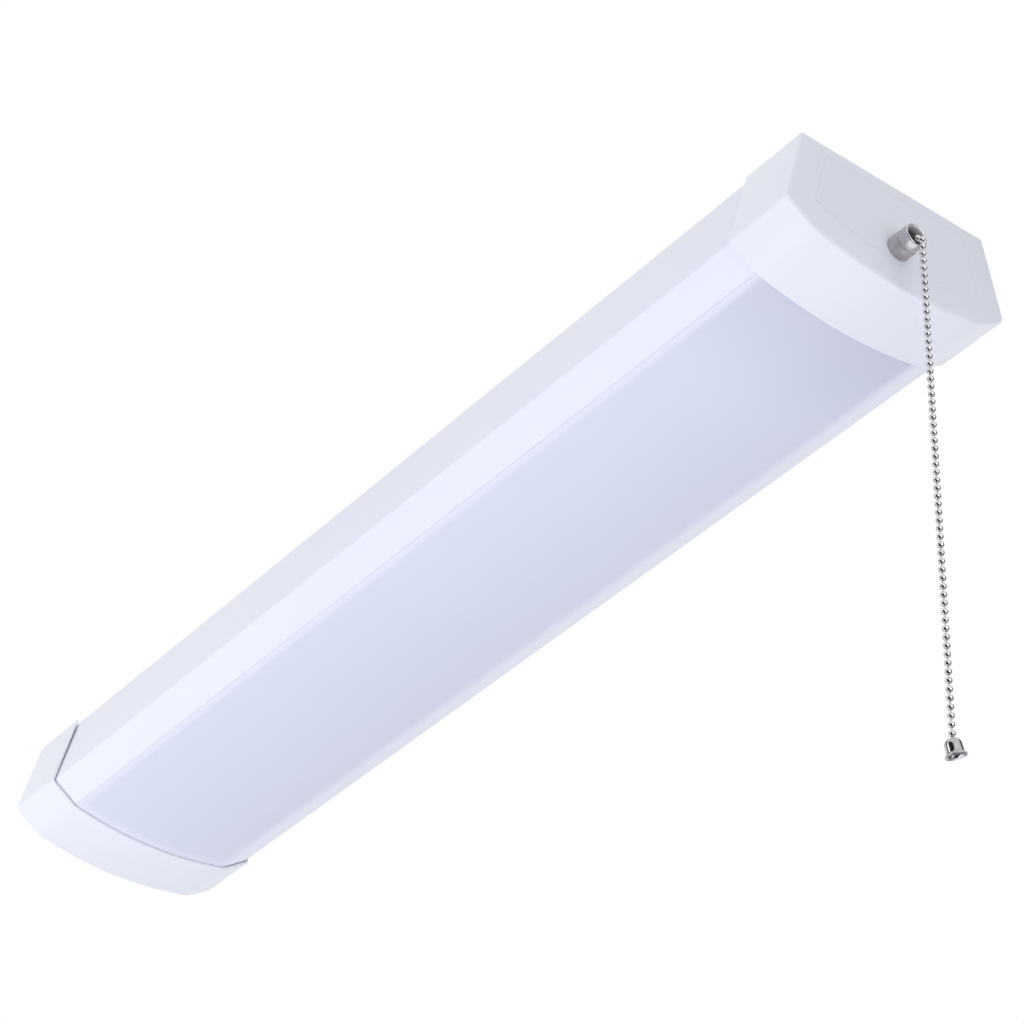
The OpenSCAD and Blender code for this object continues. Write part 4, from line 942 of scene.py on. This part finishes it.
# the pieces inside keep their CAD solids: light tone, deep tone, patch size, gloss range, metal
insideFinishes = {
    "galvanised": ((0.62, 0.64, 0.66, 1), (0.45, 0.47, 0.50, 1), 90, (0.30, 0.48), 1.0),
    "tray_white": (rgb(240, 241, 243), rgb(230, 232, 235), 8, (0.40, 0.50), 0.0),
    "board_white": (rgb(236, 238, 236), rgb(224, 227, 224), 30, (0.35, 0.45), 0.0),
    "led": (rgb(246, 226, 120), rgb(232, 205, 90), 300, (0.25, 0.35), 0.0),
    "screw": ((0.66, 0.66, 0.68, 1), (0.50, 0.50, 0.53, 1), 250, (0.20, 0.34), 1.0),
    "connector": (rgb(238, 234, 222), rgb(226, 220, 204), 120, (0.38, 0.50), 0.0),
    "driver_white": (rgb(234, 235, 236), rgb(222, 224, 226), 25, (0.42, 0.55), 0.0),
    "board_green": (rgb(32, 110, 62), rgb(22, 88, 50), 60, (0.22, 0.34), 0.0),
    "ferrite": (rgb(58, 56, 58), rgb(42, 41, 43), 140, (0.45, 0.62), 0.0),
    "capacitor": (rgb(40, 46, 92), rgb(30, 34, 72), 80, (0.22, 0.32), 0.0),
    "choke": (rgb(148, 82, 40), rgb(118, 62, 30), 200, (0.28, 0.42), 0.3),
    "terminal": (rgb(206, 207, 208), rgb(192, 194, 196), 60, (0.36, 0.48), 0.0),
    "brass": ((0.78, 0.58, 0.27, 1), (0.62, 0.44, 0.19, 1), 300, (0.22, 0.36), 1.0),
    "earth_green": ((0.10, 0.42, 0.17, 1), (0.07, 0.33, 0.13, 1), 200, (0.28, 0.42), 0.8),
    "lead_brown": (rgb(112, 66, 38), rgb(94, 54, 31), 60, (0.36, 0.48), 0.0),
    "lead_black": (rgb(36, 36, 38), rgb(26, 26, 28), 60, (0.36, 0.48), 0.0),
    "lead_blue": (rgb(40, 88, 176), rgb(32, 72, 150), 60, (0.36, 0.48), 0.0),
    "lead_green": (rgb(96, 168, 48), rgb(210, 206, 40), 45, (0.36, 0.48), 0.0),
    "lead_red": (rgb(186, 38, 36), rgb(156, 28, 30), 60, (0.36, 0.48), 0.0),
    "phenolic": (rgb(44, 38, 34), rgb(32, 27, 25), 90, (0.25, 0.40), 0.0),
    "lever_plastic": (rgb(206, 186, 150), rgb(190, 168, 132), 90, (0.34, 0.46), 0.0),
    "drum_plastic": (rgb(126, 62, 34), rgb(104, 48, 26), 120, (0.30, 0.44), 0.0),
    "spring_steel": ((0.56, 0.56, 0.58, 1), (0.42, 0.42, 0.44, 1), 300, (0.18, 0.30), 1.0),
    "nut_nickel": ((0.72, 0.70, 0.70, 1), (0.60, 0.58, 0.58, 1), 160, (0.30, 0.40), 1.0),
    "chain_nickel": ((0.72, 0.71, 0.69, 1), (0.58, 0.57, 0.56, 1), 160, (0.12, 0.20), 1.0)}


def dressInside():
    slots = {part["node"]: part["material_slot"] for part in frame["record"]["subparts"]}
    made = {}
    for node, piece in frame["nodes"].items():
        if piece.hide_render:
            continue
        slotName = slots[node]
        if slotName not in made:
            made[slotName] = plainFinish("inside_" + slotName, *insideFinishes[slotName])
        if not piece.material_slots:
            piece.data.materials.append(made[slotName])
        for place in piece.material_slots:
            place.material = made[slotName]
    print("shop light: finishes on", len(made), "kinds of inner piece")


dressInside()


def flatPiece(name, finishName, w, h, z, color, roughness):
    mesh = bpy.data.meshes.new(name)
    mesh.from_pydata([(-w, -h, z), (w, -h, z), (w, h, z), (-w, h, z)], [], [[0, 1, 2, 3]])
    finish, tree, shader = newFinish(finishName)
    shader.inputs["Base Color"].default_value = color
    shader.inputs["Roughness"].default_value = roughness
    mesh.materials.append(finish)
    piece = bpy.data.objects.new(name, mesh)
    scene.collection.objects.link(piece)
    return piece


def makeFloor():
    half = studio["floorHalf"]
    flatPiece("floor", "paleFloor", half, half, studio["floorHeight"], studio["floorColor"],
                       studio["floorRoughness"])


def makeCard(name, place, width, height, lean):
    # dark card out of the camera's sight, there for the polished metal's reflections alone
    card = flatPiece(name, name, width / 2, height / 2, 0, (studio["cardShade"],) * 3 + (1,),
                     studio["cardRoughness"])
    aim = Vector((halfLength * mm, 0, studio["cardAimHeight"])) - Vector(place)
    card.location = place
    card.rotation_euler = (aim.to_track_quat("Z", "Y").to_matrix()
                           @ Matrix.Rotation(math.radians(lean), 3, "Z")).to_euler()
    card.visible_camera = card.visible_diffuse = card.visible_shadow = card.visible_transmission = False


makeFloor()
for i, settings in enumerate(studio["cards"]):
    makeCard("darkCard%d" % i, *settings)
print("shop light: floor and", len(studio["cards"]), "dark cards placed")


print("shop light: done")
